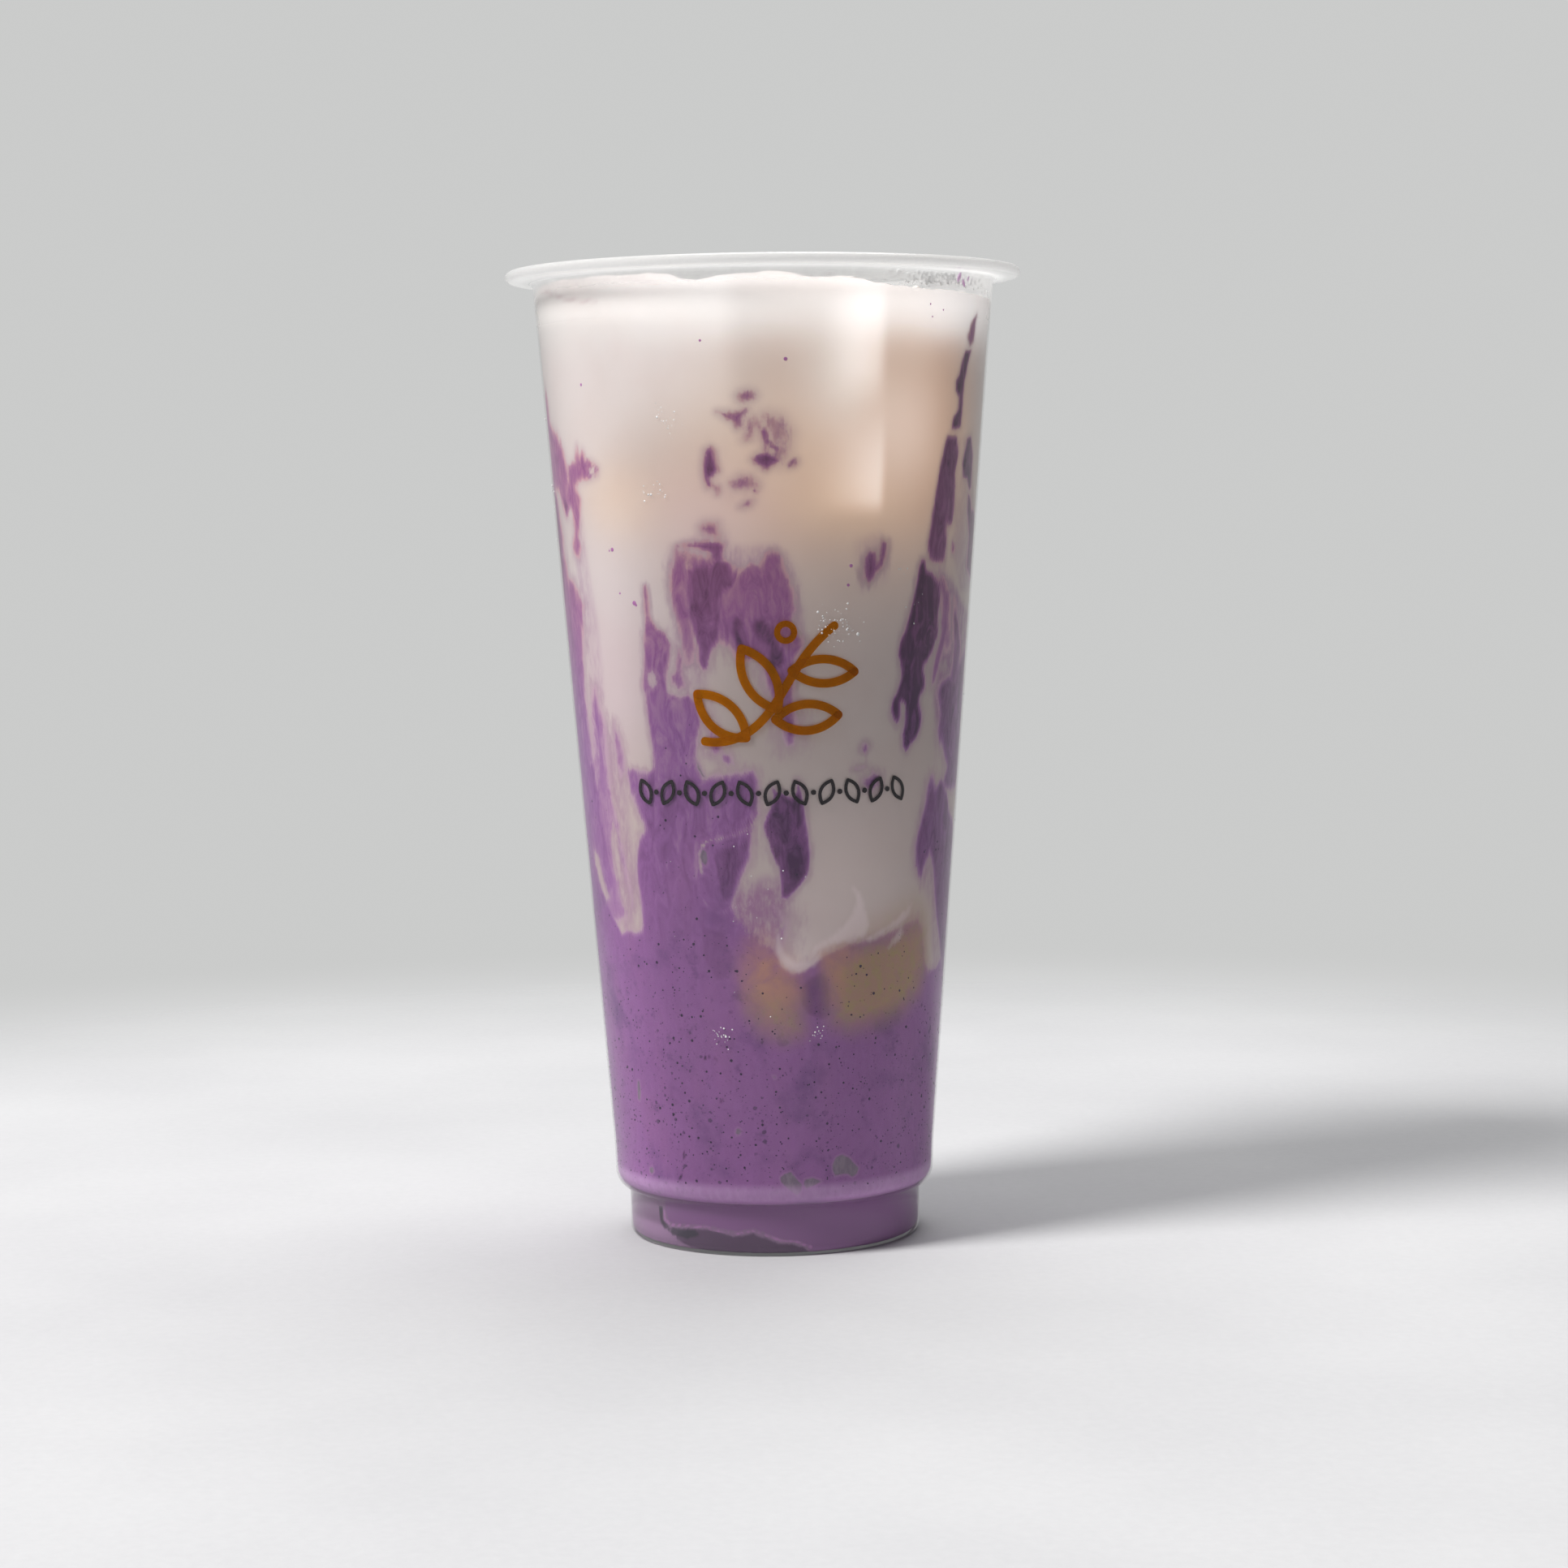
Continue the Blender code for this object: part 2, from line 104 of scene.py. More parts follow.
    ("low_c", 0.7, 0.7, ((55.1, 85.6), (57.7, 86.8), (60.3, 84.2), (64, 85.8), (69, 83), (73.4, 79.1), (93.2, 74.4), (94.9, 71.4), (94.7, 48.7), (92.5, 44.2), (80.4, 48.4), (73.8, 53.4), (66.7, 59.9), (63.9, 64.6), (61.5, 69.2), (58.6, 72.3), (55.6, 69.5), (54.6, 67), (52, 69), (50.3, 72), (50.7, 75), (52.7, 78.6), (54.7, 82.2),)),
    ("fleck_1", 0.45, 0.7, ((-6.7, 154.7), (-6, 155.2), (-4.4, 155.5), (-2.6, 155.2), (-2.2, 154.6), (-3, 154.1), (-4.8, 153.8), (-6.3, 154),)),
    ("fleck_2", 0.5, 0.6, ((-11.9, 152), (-7.6, 151.8), (-4.1, 152.4), (-5.8, 150.9), (-6, 149.6), (-6.9, 148.9), (-7.8, 150.2), (-9.5, 150.8),)),
    ("fleck_3", 0.6, 0.6, ((-2.7, 151.1), (-1.3, 149.3), (-0, 149.2), (1.2, 148.4), (1.2, 147.3), (2.4, 146.5), (2.8, 145.8), (4.2, 145.7), (3, 144.9), (1.1, 145.6), (0.3, 146.2), (0.5, 144.8), (-0.3, 144.8), (-0.3, 146.6), (-0.7, 147.6), (-1.5, 148.7), (-2.7, 149.9),)),
    ("fleck_4", 0.75, 0.6, ((-0.5, 144.9), (0.9, 144.8), (2.8, 144.1), (3.8, 143.4), (1.9, 142.5), (0.2, 141.7), (-1.8, 142.6), (-3.3, 143.7), (-2.2, 144.5),)),
    ("fleck_4b", 0.1, 1.3, ((0.4, 150.8), (3.3, 150.4), (5.5, 148), (4.7, 145), (3.8, 143.6), (2.6, 144.5), (3.2, 145.9), (1.6, 147.6),)),
    ("fleck_4c", 0.22, 0.8, ((-3.7, 150.2), (-2.9, 149.6), (-3.6, 147.4), (-5, 147.2), (-4.4, 148.8),)),
    ("fleck_5", 0.35, 0.6, ((5.9, 142.9), (6.7, 143.5), (8, 143.6), (8.2, 143), (7.4, 142.5), (6.1, 142.3),)),
    ("fleck_6", 0.7, 0.6, ((-15.3, 145.4), (-13.9, 145.9), (-12.9, 145.3), (-12.6, 143.2), (-12, 141.8), (-13.6, 140.8), (-14.4, 140.4), (-13.9, 139.1), (-15.2, 138.9), (-15.8, 140.4), (-16.1, 142.3),)),
    ("fleck_6b", 0.35, 0.6, ((-13, 139), (-11.9, 139), (-11.9, 138.3), (-12.6, 137.7), (-13, 138.3),)),
    ("fleck_7", 0.3, 0.8, ((-8.5, 139.4), (-6.5, 140.6), (-3.6, 140.5), (-2.1, 139.2), (-4.9, 138.8), (-7.4, 138.9),)),
    ("fleck_8", 0.25, 0.6, ((-6.7, 135.5), (-5.4, 136.2), (-3.3, 136.5), (-4.1, 135.7), (-5.6, 135.4),)),
    ("dot_1", 0.95, 0.3, ((-3, 138.3), (-2.4, 138.5), (-1.7, 138.2), (-2.4, 137.8), (-3, 137.9),)),
    ("fleck_9", 0.5, 0.8, ((-17.2, 131.9), (-15.8, 132.6), (-12.9, 132.6), (-12.7, 131.6), (-12.1, 130.6), (-13, 130.1), (-14.8, 130.6), (-16.8, 131.1),)),
    ("comma_1", 0.65, 0.6, ((32.3, 129.4), (33.9, 128.9), (33.5, 126.5), (32.6, 124.6), (30.8, 123.7), (29.6, 122.2), (28.3, 121.7), (27, 122.7), (27.1, 125.8), (28.3, 127.3), (30.1, 127.2), (31, 125.2), (31.9, 126.8),)),
    ("spot_e", 0.55, 0.5, ((27.7, 92.7), (28.7, 93.2), (29.8, 92.8), (28.8, 91.5), (28, 91.7),)),
    ("spot_f", 0.28, 0.5, ((25.2, 88.7), (26.7, 89.2), (28.7, 89.2), (27.3, 88.6),)),
    ("spot_g", 0.5, 0.7, ((28.5, 86.5), (30.2, 87.1), (31.8, 87.8), (33.9, 87.3), (33.7, 85.8), (31.7, 84.7), (29.7, 85.3),)),
    ("tri", 0.45, 0.6, ((-16.6, 96.2), (-14.9, 95.5), (-12.8, 94.1), (-14.6, 92.3), (-17.1, 92.2), (-16.9, 94.6),)),
    ("lump", 0.45, 0.6, ((-13.4, 92), (-11.3, 91.8), (-9.9, 90.3), (-11.9, 89.7), (-14, 90.9),)),
    ("lens", 0.86, 0.45, ((-1.9, 79), (-0.9, 81), (0.4, 82.7), (1.1, 84.5), (0.2, 85.6), (0.7, 86.2), (2.3, 85.2), (4.3, 84.7), (6.4, 84.1), (7.9, 85.1), (8.1, 87.4), (9.1, 85.5), (10.1, 82.9), (10.8, 80), (11.6, 77), (12.1, 73.2), (11.4, 70.3), (9.1, 68.3), (7.1, 66.9), (5, 65.8), (3, 66.1), (3.1, 67.8), (2.8, 70.2), (1.6, 72.2), (0.2, 74.3), (-1.2, 76.3),)),
    ("mass_d", 0.5, 0.6, ((-55.7, 58.3), (-51.8, 59.1), (-48.4, 58.7), (-44.8, 59.4), (-44.5, 64.8), (-45.7, 68.4), (-45.4, 72.2), (-43.5, 76.4), (-40.2, 78.1), (-42.3, 79.6), (-44.2, 82.5), (-45.6, 86.6), (-38.4, 87.8), (-26.7, 88.8), (-19.9, 87.7), (-16.4, 88), (-11.4, 88.4), (-7.8, 88.6), (-4.9, 89.1), (-3.3, 87.7), (-3, 83.8), (-3.5, 81.2), (-7, 79.3), (-12, 78.4), (-17.1, 77.5), (-20.8, 76.6), (-22, 75.4), (-22.5, 72.5), (-22, 68.4), (-20.1, 65.2), (-15.4, 63.7), (-9.7, 64.4), (-3.9, 62.9), (-0.1, 59.6), (1.9, 57), (2.3, 54), (6.2, 52.2), (10.2, 52.7), (13.9, 54.4), (17.1, 55.5), (23.8, 56.8), (31.4, 57.7), (39.1, 58.5), (47.1, 59.6), (53.9, 60.4), (57.4, 57.5), (59.7, 52.1), (62.6, 50.2), (69.9, 50.6), (93, 56.3), (107.9, 48.7), (107.4, 0.3), (-120.6, 0.3), (-120, 57.8), (-85.5, 62.6), (-64.1, 63.6),)),
    ("piece_e", 0.74, 0.8, ((-16.7, 75.2), (-12.6, 75.8), (-8.6, 76.4), (-6.6, 77.2), (-5.6, 76.4), (-6, 73.7), (-7.3, 72), (-9.4, 70.2), (-10.5, 67.6), (-11.9, 65.2), (-15.3, 65.2), (-16.5, 67.8), (-17.5, 71.3), (-17.9, 73.5),)),
    ("piece_left", 0.5, 0.5, ((-22.9, 77.4), (-19.6, 78.3), (-11.9, 79.6), (-5.7, 81), (-3, 81.9), (-3.8, 79.3), (-5.4, 76.6), (-6, 73.7), (-8.6, 70.5), (-10.5, 67.3), (-12.6, 63.5), (-18.1, 63.1), (-22.8, 66.3), (-23.8, 72.7),)),
    ("shade_d", 0.62, 1.6, ((-23.7, 62.4), (-13, 61.1), (-10.1, 55.2), (-12.3, 50.1), (-19.1, 50), (-24.4, 55.1),)),
    ("blush_a", 0.4, 1.6, ((-11.5, 63.2), (-5.1, 64.4), (1.2, 63.7), (4.5, 61.1), (2.9, 57.4), (-0.2, 56.4), (-6.6, 58.2), (-10.9, 60.3),)),
    ("between_e", 0.42, 0.9, ((-22.8, 69.1), (-18.2, 68.7), (-16.9, 65.8), (-15.4, 63.4), (-20.2, 64), (-22.8, 66.3),)),
    ("slit_crescent", 1.3, 0.3, ((-24.4, 36.8), (-23.1, 37.3), (-20.2, 37.2), (-18.2, 36.5), (-19.1, 36.3), (-21.4, 36.9), (-23.8, 36.5),)),
    ("slit_dash", 1.1, 0.3, ((-20.3, 28.7), (-18.5, 29.3), (-16.7, 29.5), (-17.6, 28.9), (-19.4, 28.4),)),
    ("slit_p1", 1.0, 0.3, ((-34.3, 19.2), (-32.9, 19.4), (-32.3, 18.4), (-33.5, 17.6), (-34.1, 18.3),)),
    ("slit_p3", 1.2, 0.3, ((-36.8, 13.8), (-35.3, 14.8), (-33.8, 15), (-35, 14), (-36.1, 13.4),)),
    ("slit_tiny1", 1.2, 0.3, ((-11.4, 41.2), (-10.6, 40.9), (-10.4, 40.2), (-11.2, 39.6), (-11.2, 40.3),)),
    ("slit_tiny3", 1.0, 0.3, ((-4.5, 21.7), (-3.9, 22.3), (-3.4, 22.1), (-4, 20.9),)),
    ("patch_f", 0.72, 1.3, ((7.5, 50), (10.7, 52.1), (16.1, 53.5), (19.4, 51.9), (20.4, 48.2), (20.2, 43.7), (16.3, 42.8), (10.2, 44.2), (7.5, 47),)),
)
HOLES = (
    ("h1", 0.5, ((-35.6, 106.1), (-34.1, 106.7), (-32.5, 105.8), (-32.7, 104.4), (-34.5, 103.5), (-36.1, 104.2),)),
    ("h2", 0.4, ((-29.3, 105.4), (-28, 105), (-27.7, 103.3), (-28.6, 102.1), (-29.6, 103),)),
    ("ring", 0.5, ((-53.3, 142.7), (-51, 143.1), (-49.7, 142.4), (-51.3, 141.7), (-53.1, 141.9),)),
    ("slit", 0.35, ((40.8, 100.2), (41.7, 100.7), (42.8, 99.8), (42.8, 96.3), (42, 94.4), (41.2, 96.2),)),
    ("branch", 0.6, ((-4.5, 80.7), (-3, 81.3), (-1.9, 79.8), (-1.7, 78.1), (-0.5, 76.3), (0.7, 73.8), (2.4, 71.6), (2.8, 69.9), (1.8, 67.6), (-0.5, 66.4), (-5, 66.7), (-9.1, 66.1), (-10.5, 67.3), (-8.9, 69.6), (-6.8, 72), (-5.2, 74.3), (-5.4, 77.2), (-4.8, 79.3),)),
    ("vein", 0.28, ((-21.8, 74.2), (-21.1, 75.7), (-19.2, 76.6), (-14.6, 77.1), (-10, 77.8), (-6.5, 79), (-4.5, 80.4), (-4, 80), (-6, 78.5), (-9.5, 77.4), (-14.1, 76.7), (-18.5, 76.2), (-20.4, 75),)),
    ("vein_2", 0.3, ((-22.1, 74.2), (-21.3, 74.4), (-21.2, 71.9), (-20.8, 70.4), (-21.6, 70.1), (-22.1, 71.9),)),
    ("blush", 1.5, ((-10.6, 65.2), (-6.3, 66.1), (-0.5, 66.1), (3, 64.3), (4.2, 61.4), (2.7, 58.7), (3.9, 55.8), (0.8, 56.1), (-3.2, 58.2), (-8.3, 60), (-11.3, 62.3),)),
    ("gap_left", 0.9, ((-56.1, 79.9), (-53.4, 76.3), (-52.2, 71.9), (-49.8, 67.5), (-48.6, 63.9), (-47.2, 61), (-49, 60.1), (-52.1, 61.5), (-55, 64.3), (-57.3, 70.2), (-58.1, 74.6),)),
    ("pale_left", 0.8, ((-73.1, 73.2), (-67.6, 71.9), (-64.9, 68.3), (-61.9, 64.6), (-64.8, 63.5), (-69.4, 66.6), (-72.9, 70.2),)),
    ("channel", 0.5, ((-19.3, 96.1), (-17.8, 96.8), (-16.9, 91.7), (-15.1, 89.6), (-18.4, 88.1), (-19.7, 90.3),)),
    ("channel_2", 0.4, ((-22.2, 91.4), (-21.2, 91.7), (-19.8, 89.6), (-17.9, 87.7), (-19.5, 87.4), (-21.1, 89.1),)),
    ("right_gap", 0.6, ((55.8, 71), (58.2, 71.6), (61.1, 68.5), (63.7, 63.1), (66.4, 58.4), (70.6, 53.6), (70.1, 50.3), (63.9, 50.1), (60.1, 52.8), (58.2, 58.9), (55.9, 65),)),
)
POCKETS = (
    ("p2", ((-50.8, 15.3), (-48.9, 15.6), (-47.7, 14.6), (-49.7, 13.9), (-51, 14.4),)),
    ("p4", ((-13.3, 24), (-12.1, 24.3), (-11, 23.8), (-11.6, 22.9), (-13.4, 22.7),)),
    ("big_r", ((20.5, 17), (21.7, 18.3), (24.2, 18.8), (27.2, 18), (29.6, 16.6), (31.3, 15.9), (30.3, 14.7), (28.3, 14.1), (26.7, 14.8), (24.4, 14.9), (21.5, 14.7), (20.6, 15.8),)),
    ("big_l", ((1.6, 15.1), (3.3, 15.8), (5.7, 16.2), (7.4, 15), (9.7, 13.7), (9.4, 12.3), (7.7, 11.5), (5, 12.6), (2.1, 14),)),
    ("big_m", ((10.3, 14.6), (13.3, 14.9), (17.2, 14.1), (14.5, 13.3), (10.9, 12.7), (10, 13.6),)),
    ("hole_up", ((-21.9, 73.5), (-21, 74.8), (-19.4, 74.8), (-19, 73.1), (-19.6, 71.6), (-21.2, 72.3),)),
    ("chan", ((-21.7, 91.1), (-20.8, 90.3), (-19.4, 88.5), (-18.4, 87.5), (-19.9, 87.8), (-21.3, 89.4),)),
    ("tiny2", ((-0.5, 33.9), (0.9, 33.8), (1.1, 33.2), (0, 33.2),)),
    ("streak", ((-54.2, 31.3), (-52.6, 31.4), (-52.3, 29.2), (-53.2, 27.3), (-54.7, 27.5),)),
)
BROWN = (
    ("olive_r", 2.9, 1.15, ((20, 52.5), (23.8, 54.7), (31.6, 55.6), (40, 56.4), (46.6, 57.8), (53.2, 59.2), (57.4, 57.5), (58.5, 52.2), (55.1, 48.3), (46.6, 45.6), (37, 44.2), (26.7, 43.5), (21.9, 44.7),)),
    ("olive_l", 2.4, 0.85, ((-5.1, 50.1), (-0.4, 50.1), (4.9, 49), (7.5, 46.3), (8, 42.4), (3.7, 41.6), (-2.1, 43.1), (-5.8, 45.7),)),
    ("orange", 2.8, 0.95, ((-5.9, 56.4), (-1.7, 57.3), (1.3, 55.2), (4.4, 52.8), (7, 51.3), (6.5, 49), (0.1, 47.6), (-5.7, 48.5), (-7.1, 52.3),)),
    ("orange_r", 1.6, 0.75, ((16, 55.2), (23.8, 56.5), (25.6, 54.3), (22.8, 51.8), (20.7, 48.2), (18.9, 51.9),)),
    ("olive_top", 2.6, 0.5, ((21, 54.1), (26.5, 59), (35.6, 60.7), (43.7, 62.4), (50.7, 63.5), (58.7, 61.6), (59.6, 57.3), (43.1, 54.6), (29.8, 53.7),)),
)
FOOT = (
    ("upper", ((-49, 8.9), (-17.4, 9.5), (-0, 9.5), (27.7, 9.5), (92.4, 9.7), (92.5, 3.3), (69.8, -0.1), (38.5, -0.2), (15.2, -0.3), (13.2, 1.2), (9.8, 2.5), (2.1, 3.2), (-2.4, 4), (-8.5, 5.2), (-15.4, 4.5), (-21.6, 4.9), (-28, 5.3), (-39.9, 4.9), (-46.3, 5), (-48.6, 7.1),)),
    ("line", ((-50.1, 7.3), (-48.6, 7.1), (-48.2, 5.6), (-45.3, 4.8), (-36.5, 5), (-28, 5.2), (-21.6, 4.8), (-15.5, 4.3), (-8.5, 5), (-1.8, 4), (3, 3.1), (8.2, 3), (11.8, 2.3), (14.8, 1.5), (14.6, 1.1), (10.5, 1.9), (6.2, 2.6), (2.1, 2.6), (-2.4, 3.6), (-8.5, 4.6), (-15.5, 3.9), (-21.6, 4.3), (-28, 4.7), (-36.6, 4.5), (-45.8, 4.3), (-49.3, 5.1),)),
    ("dark", ((-52.8, 7.7), (-50.1, 7.6), (-49.8, 5.1), (-45.8, 4.1), (-38.7, 4.2), (-32.6, 4.4), (-30.3, 3.3), (-36.7, 2.4), (-44.5, 2.7), (-51.4, 4.2),)),
    ("lower", ((-38.6, 4.4), (-28, 4.6), (-21.6, 4.2), (-15.5, 3.7), (-8.5, 4.4), (-3.1, 3.4), (1.4, 2.5), (6.2, 2.4), (11.1, 1.6), (13.8, 0.1), (-5.4, -0.3), (-26.8, -0.1), (-37.4, 1.1), (-43.6, 2.3),)),
)
WISPS = (
    ("w1", ((25.6, 67.6), (28.5, 66.6), (30.1, 63.6), (31.9, 60.3), (30.8, 58.3), (25.4, 57.6), (19.8, 57.5), (15.5, 56.7), (12.3, 55), (13.3, 57.1), (17.6, 58.4), (22.5, 60.4), (25.8, 62.3), (27.4, 64.9),)),
    ("w2", ((50.7, 63.5), (48.5, 61.3), (43.3, 59.5), (37.1, 58.3), (32.7, 57.3), (30.2, 57.7), (35.1, 59), (41.1, 60.2), (46, 62),)),
    ("w3", ((45.2, 59.2), (47.3, 58.4), (43.7, 56.5), (40.1, 55.8), (41.4, 57.2),)),
    ("w4", ((1.9, 59.6), (3.9, 56.4), (7.5, 54.3), (12.3, 54.5), (15.5, 56.1), (16, 55.2), (13.4, 53.5), (8.6, 52.5), (3.9, 53.4), (1.3, 56.1),)),
)


# VEILS: thin purple that only tints the milk: name, strength, softness in mm, outline.
VEILS = (
    ("under_pieces", 0.88, 1.6, ((-21, 68.1), (-11.3, 67.3), (0.1, 68.7), (7.6, 68.6), (5, 64), (2.7, 59.6), (1.3, 55.2), (-4.6, 49.1), (-14, 52.9), (-20.6, 59.6))),
    ("ice_line", 0.34, 0.4, ((-73.7, 175), (-64.2, 173.6), (-57.5, 172.7), (-50.3, 172), (-44.7, 171.9), (-44.6, 172.3), (-50.2, 172.4), (-56.6, 173.1), (-62.5, 174.1), (-69.6, 175.2))),
    ("ice_line_b", 0.28, 0.4, ((-35.1, 175.8), (-30.8, 175.1), (-25.9, 174.1), (-25.9, 174.4), (-30.8, 175.4), (-34.6, 176))),
    ("around_piece", 0.4, 1.0, ((-11.9, 80.1), (-6.9, 82.3), (-3.5, 83), (-3.6, 80.1), (-4.2, 75.8), (-7.3, 72.9), (-12.4, 69.9), (-10.9, 75.8))),
    ("mottle_e", 0.62, 1.2, ((-11.3, 67), (-6.2, 69.2), (-1.1, 69.9), (2.6, 69.3), (4, 66.4), (2, 64), (-5.1, 63.2), (-10.7, 63.8))),
    ("left_low", 0.42, 1.6, ((-61.9, 98.3), (-51, 95.6), (-47, 86.9), (-46.7, 75.1), (-44.1, 64.8), (-52.8, 58.5), (-67, 68.2), (-69.3, 83.1))),
    ("left_mid", 0.3, 1.2, ((-66.3, 133.6), (-58, 133.6), (-57.6, 124.9), (-54.9, 114.6), (-54.7, 101.4), (-61.3, 98.3), (-63.2, 116))),
    ("crown", 0.5, 1.4, ((-26.8, 126.3), (-22.6, 129.4), (-13.8, 131.1), (-6.3, 128.2), (2.3, 128.7), (7.3, 124.6), (9.5, 116.1), (10, 106), (6.6, 110.4), (-3.2, 124.7), (-14.2, 124.8), (-22.2, 116.3), (-25.8, 114.8))),
    ("flecks", 0.3, 1.4, ((-4.9, 151.3), (-1.2, 150.7), (1.6, 151), (4.1, 150.1), (6.1, 147.6), (5.7, 144.5), (3.6, 142.8), (1.5, 145.1), (-1.3, 146.2), (-3.4, 147.9))),
    ("flecks_b", 0.14, 2.0, ((-15.3, 144.7), (-12.3, 145.2), (-11.3, 139), (-8.2, 140.4), (-1.9, 140.3), (-1.6, 135.8), (-6.3, 135.3), (-12.6, 137.3), (-16.1, 139))),
    ("mid_left", 0.35, 1.0, ((-27.3, 114.8), (-22.3, 114.8), (-17.3, 104.8), (-13.5, 96.1), (-16.2, 90.3), (-20.7, 91.7), (-24.9, 102.1))),
    ("right_mid", 0.9, 1.1, ((54, 123.6), (62.8, 121.6), (70.4, 117.9), (95, 113.3), (95, 96.1), (95, 87.4), (70.8, 85.2), (62.4, 94.5), (57.9, 96.1), (56.1, 100.6), (59.2, 109.3))),
    ("right_up", 0.34, 1.0, ((60.4, 147.3), (69.5, 147.4), (81.9, 132.7), (95, 120.4), (69.9, 119.4), (63, 125.4), (60.8, 135.7))),
    ("right_low", 0.42, 1.2, ((49.9, 80.2), (61.3, 79.7), (72.7, 67.1), (95, 55.3), (67.1, 49.3), (60.6, 63.3), (52.6, 68.2))),
    ("round_blob_r", 0.25, 1.2, ((24.1, 129), (30.9, 130.8), (35.3, 128.9), (34.1, 122.2), (26.4, 120.1))),
    ("low_pale", 0.3, 1.6, ((-25.7, 46.9), (-19.3, 47.8), (-18, 42.6), (-21.8, 38.8), (-25.8, 40.9))),
)


# ---------------------------------------------------------------- small helpers
def lin(r, g, b):
    """sRGB 0-255 to linear."""
    c = np.array([r, g, b], float) / 255
    return np.where(c <= 0.04045, c / 12.92, ((c + 0.055) / 1.055) ** 2.4)


def smooth(a, b, x):
    t = np.clip((np.asarray(x, float) - a) / (b - a), 0, 1)
    return t * t * (3 - 2 * t)


def outer_r(z):
    return BODY_FOOT[0] + (z - BODY_FOOT[1]) * SLOPE


def wall_point(theta, z, proud=0.0):
    """A point on the cone's outer wall, proud of it by that much."""
    r = outer_r(z) + proud
    a = math.radians(theta)
    return (r * math.sin(a), -r * math.cos(a), z)


def ring(theta):
    a = np.radians(theta)
    return np.sin(a), -np.cos(a)


def mesh_of(name, points, faces, material, smooth_faces=True, colours=None, floats=None):
    """A mesh object from points in mm and a list or array of faces."""
    mesh = bpy.data.meshes.new(name)
    mesh.from_pydata((np.asarray(points, float) * MM).tolist(), [], [list(map(int, f)) for f in faces])
    mesh.validate()
    if smooth_faces:
        mesh.polygons.foreach_set("use_smooth", np.ones(len(mesh.polygons), bool))
    for key, values in (floats or {}).items():
        layer = mesh.attributes.new(key, "FLOAT", "POINT")
        layer.data.foreach_set("value", np.asarray(values, np.float32))
    for key, values in (colours or {}).items():
        layer = mesh.attributes.new(key, "FLOAT_COLOR", "POINT")
        rgba = np.ones((len(values), 4), np.float32)
        rgba[:, :3] = values
        layer.data.foreach_set("color", rgba.ravel())
    mesh.update()
    obj = bpy.data.objects.new(name, mesh)
    bpy.context.scene.collection.objects.link(obj)
    mesh.materials.append(material)
    return obj


def place(obj, nodes=()):
    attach(obj, "root")
    if nodes:
        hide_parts(*nodes)
    return obj


class Shader:
    """Short spellings for building a material out of nodes."""

    def __init__(self, name):
        self.material = bpy.data.materials.new(name)
        self.material.use_nodes = True
        self.tree = self.material.node_tree
        self.tree.nodes.clear()
        self.out = self.tree.nodes.new("ShaderNodeOutputMaterial")

    def put(self, socket, value):
        if isinstance(value, bpy.types.NodeSocket):
            self.tree.links.new(value, socket)
        elif isinstance(value, (tuple, list, np.ndarray)):
            value = list(map(float, value))
            socket.default_value = value if len(socket.default_value) == len(value) else value + [1.0]
        else:
            socket.default_value = value

    def node(self, kind, inputs=None, **settings):
        made = self.tree.nodes.new(kind)
        for key, value in settings.items():
            setattr(made, key, value)
        for key, value in (inputs or {}).items():
            self.put(made.inputs[key], value)
        return made

    def math(self, operation, a, b=0.0, c=0.0, clamp=False):
        return self.node("ShaderNodeMath", {0: a, 1: b, 2: c}, operation=operation, use_clamp=clamp).outputs[0]

    def step(self, x, low, high, to_low=0.0, to_high=1.0, kind="SMOOTHSTEP"):
        return self.node(
            "ShaderNodeMapRange",
            {"Value": x, "From Min": low, "From Max": high, "To Min": to_low, "To Max": to_high},
            interpolation_type=kind,
        ).outputs["Result"]

    def mix(self, share, a, b, blend="MIX"):
        made = self.node("ShaderNodeMix", data_type="RGBA", blend_type=blend)
        self.put(made.inputs["Factor"], share)
        self.put(made.inputs[6], a)
        self.put(made.inputs[7], b)
        return made.outputs[2]

    def value(self, name):
        return self.node("ShaderNodeAttribute", attribute_name=name).outputs["Fac"]

    def colour(self, name):
        return self.node("ShaderNodeAttribute", attribute_name=name).outputs["Color"]

    def spot(self, scale=(1, 1, 1)):
        """Object coordinates in millimetres, stretched."""
        where = self.node("ShaderNodeTexCoord").outputs["Object"]
        return self.node("ShaderNodeMapping", {"Vector": where, "Scale": [1000.0 * s for s in scale]}).outputs[0]

    def noise(self, where, scale, detail=3.0, rough=0.5, warp=0.0):
        return self.node(
            "ShaderNodeTexNoise",
            {"Vector": where, "Scale": scale, "Detail": detail, "Roughness": rough, "Distortion": warp},
        ).outputs[0]

    def cells(self, where, scale, feature="F1", randomness=1.0):
        return self.node(
            "ShaderNodeTexVoronoi", {"Vector": where, "Scale": scale, "Randomness": randomness}, feature=feature
        )

    def ramp(self, x, stops, kind="LINEAR"):
        made = self.node("ShaderNodeValToRGB", {"Fac": x})
        made.color_ramp.interpolation = kind
        items = made.color_ramp.elements
        while len(items) < len(stops):
            items.new(0.5)
        for item, (at, colour) in zip(items, stops):
            item.position = at
            item.color = (*map(float, colour), 1.0)
        return made.outputs["Color"]

    def bump(self, height, distance, strength=1.0):
        return self.node(
            "ShaderNodeBump", {"Height": height, "Distance": distance * MM, "Strength": strength}
        ).outputs[0]

    def done(self, surface):
        self.tree.links.new(surface, self.out.inputs["Surface"])
        return self.material


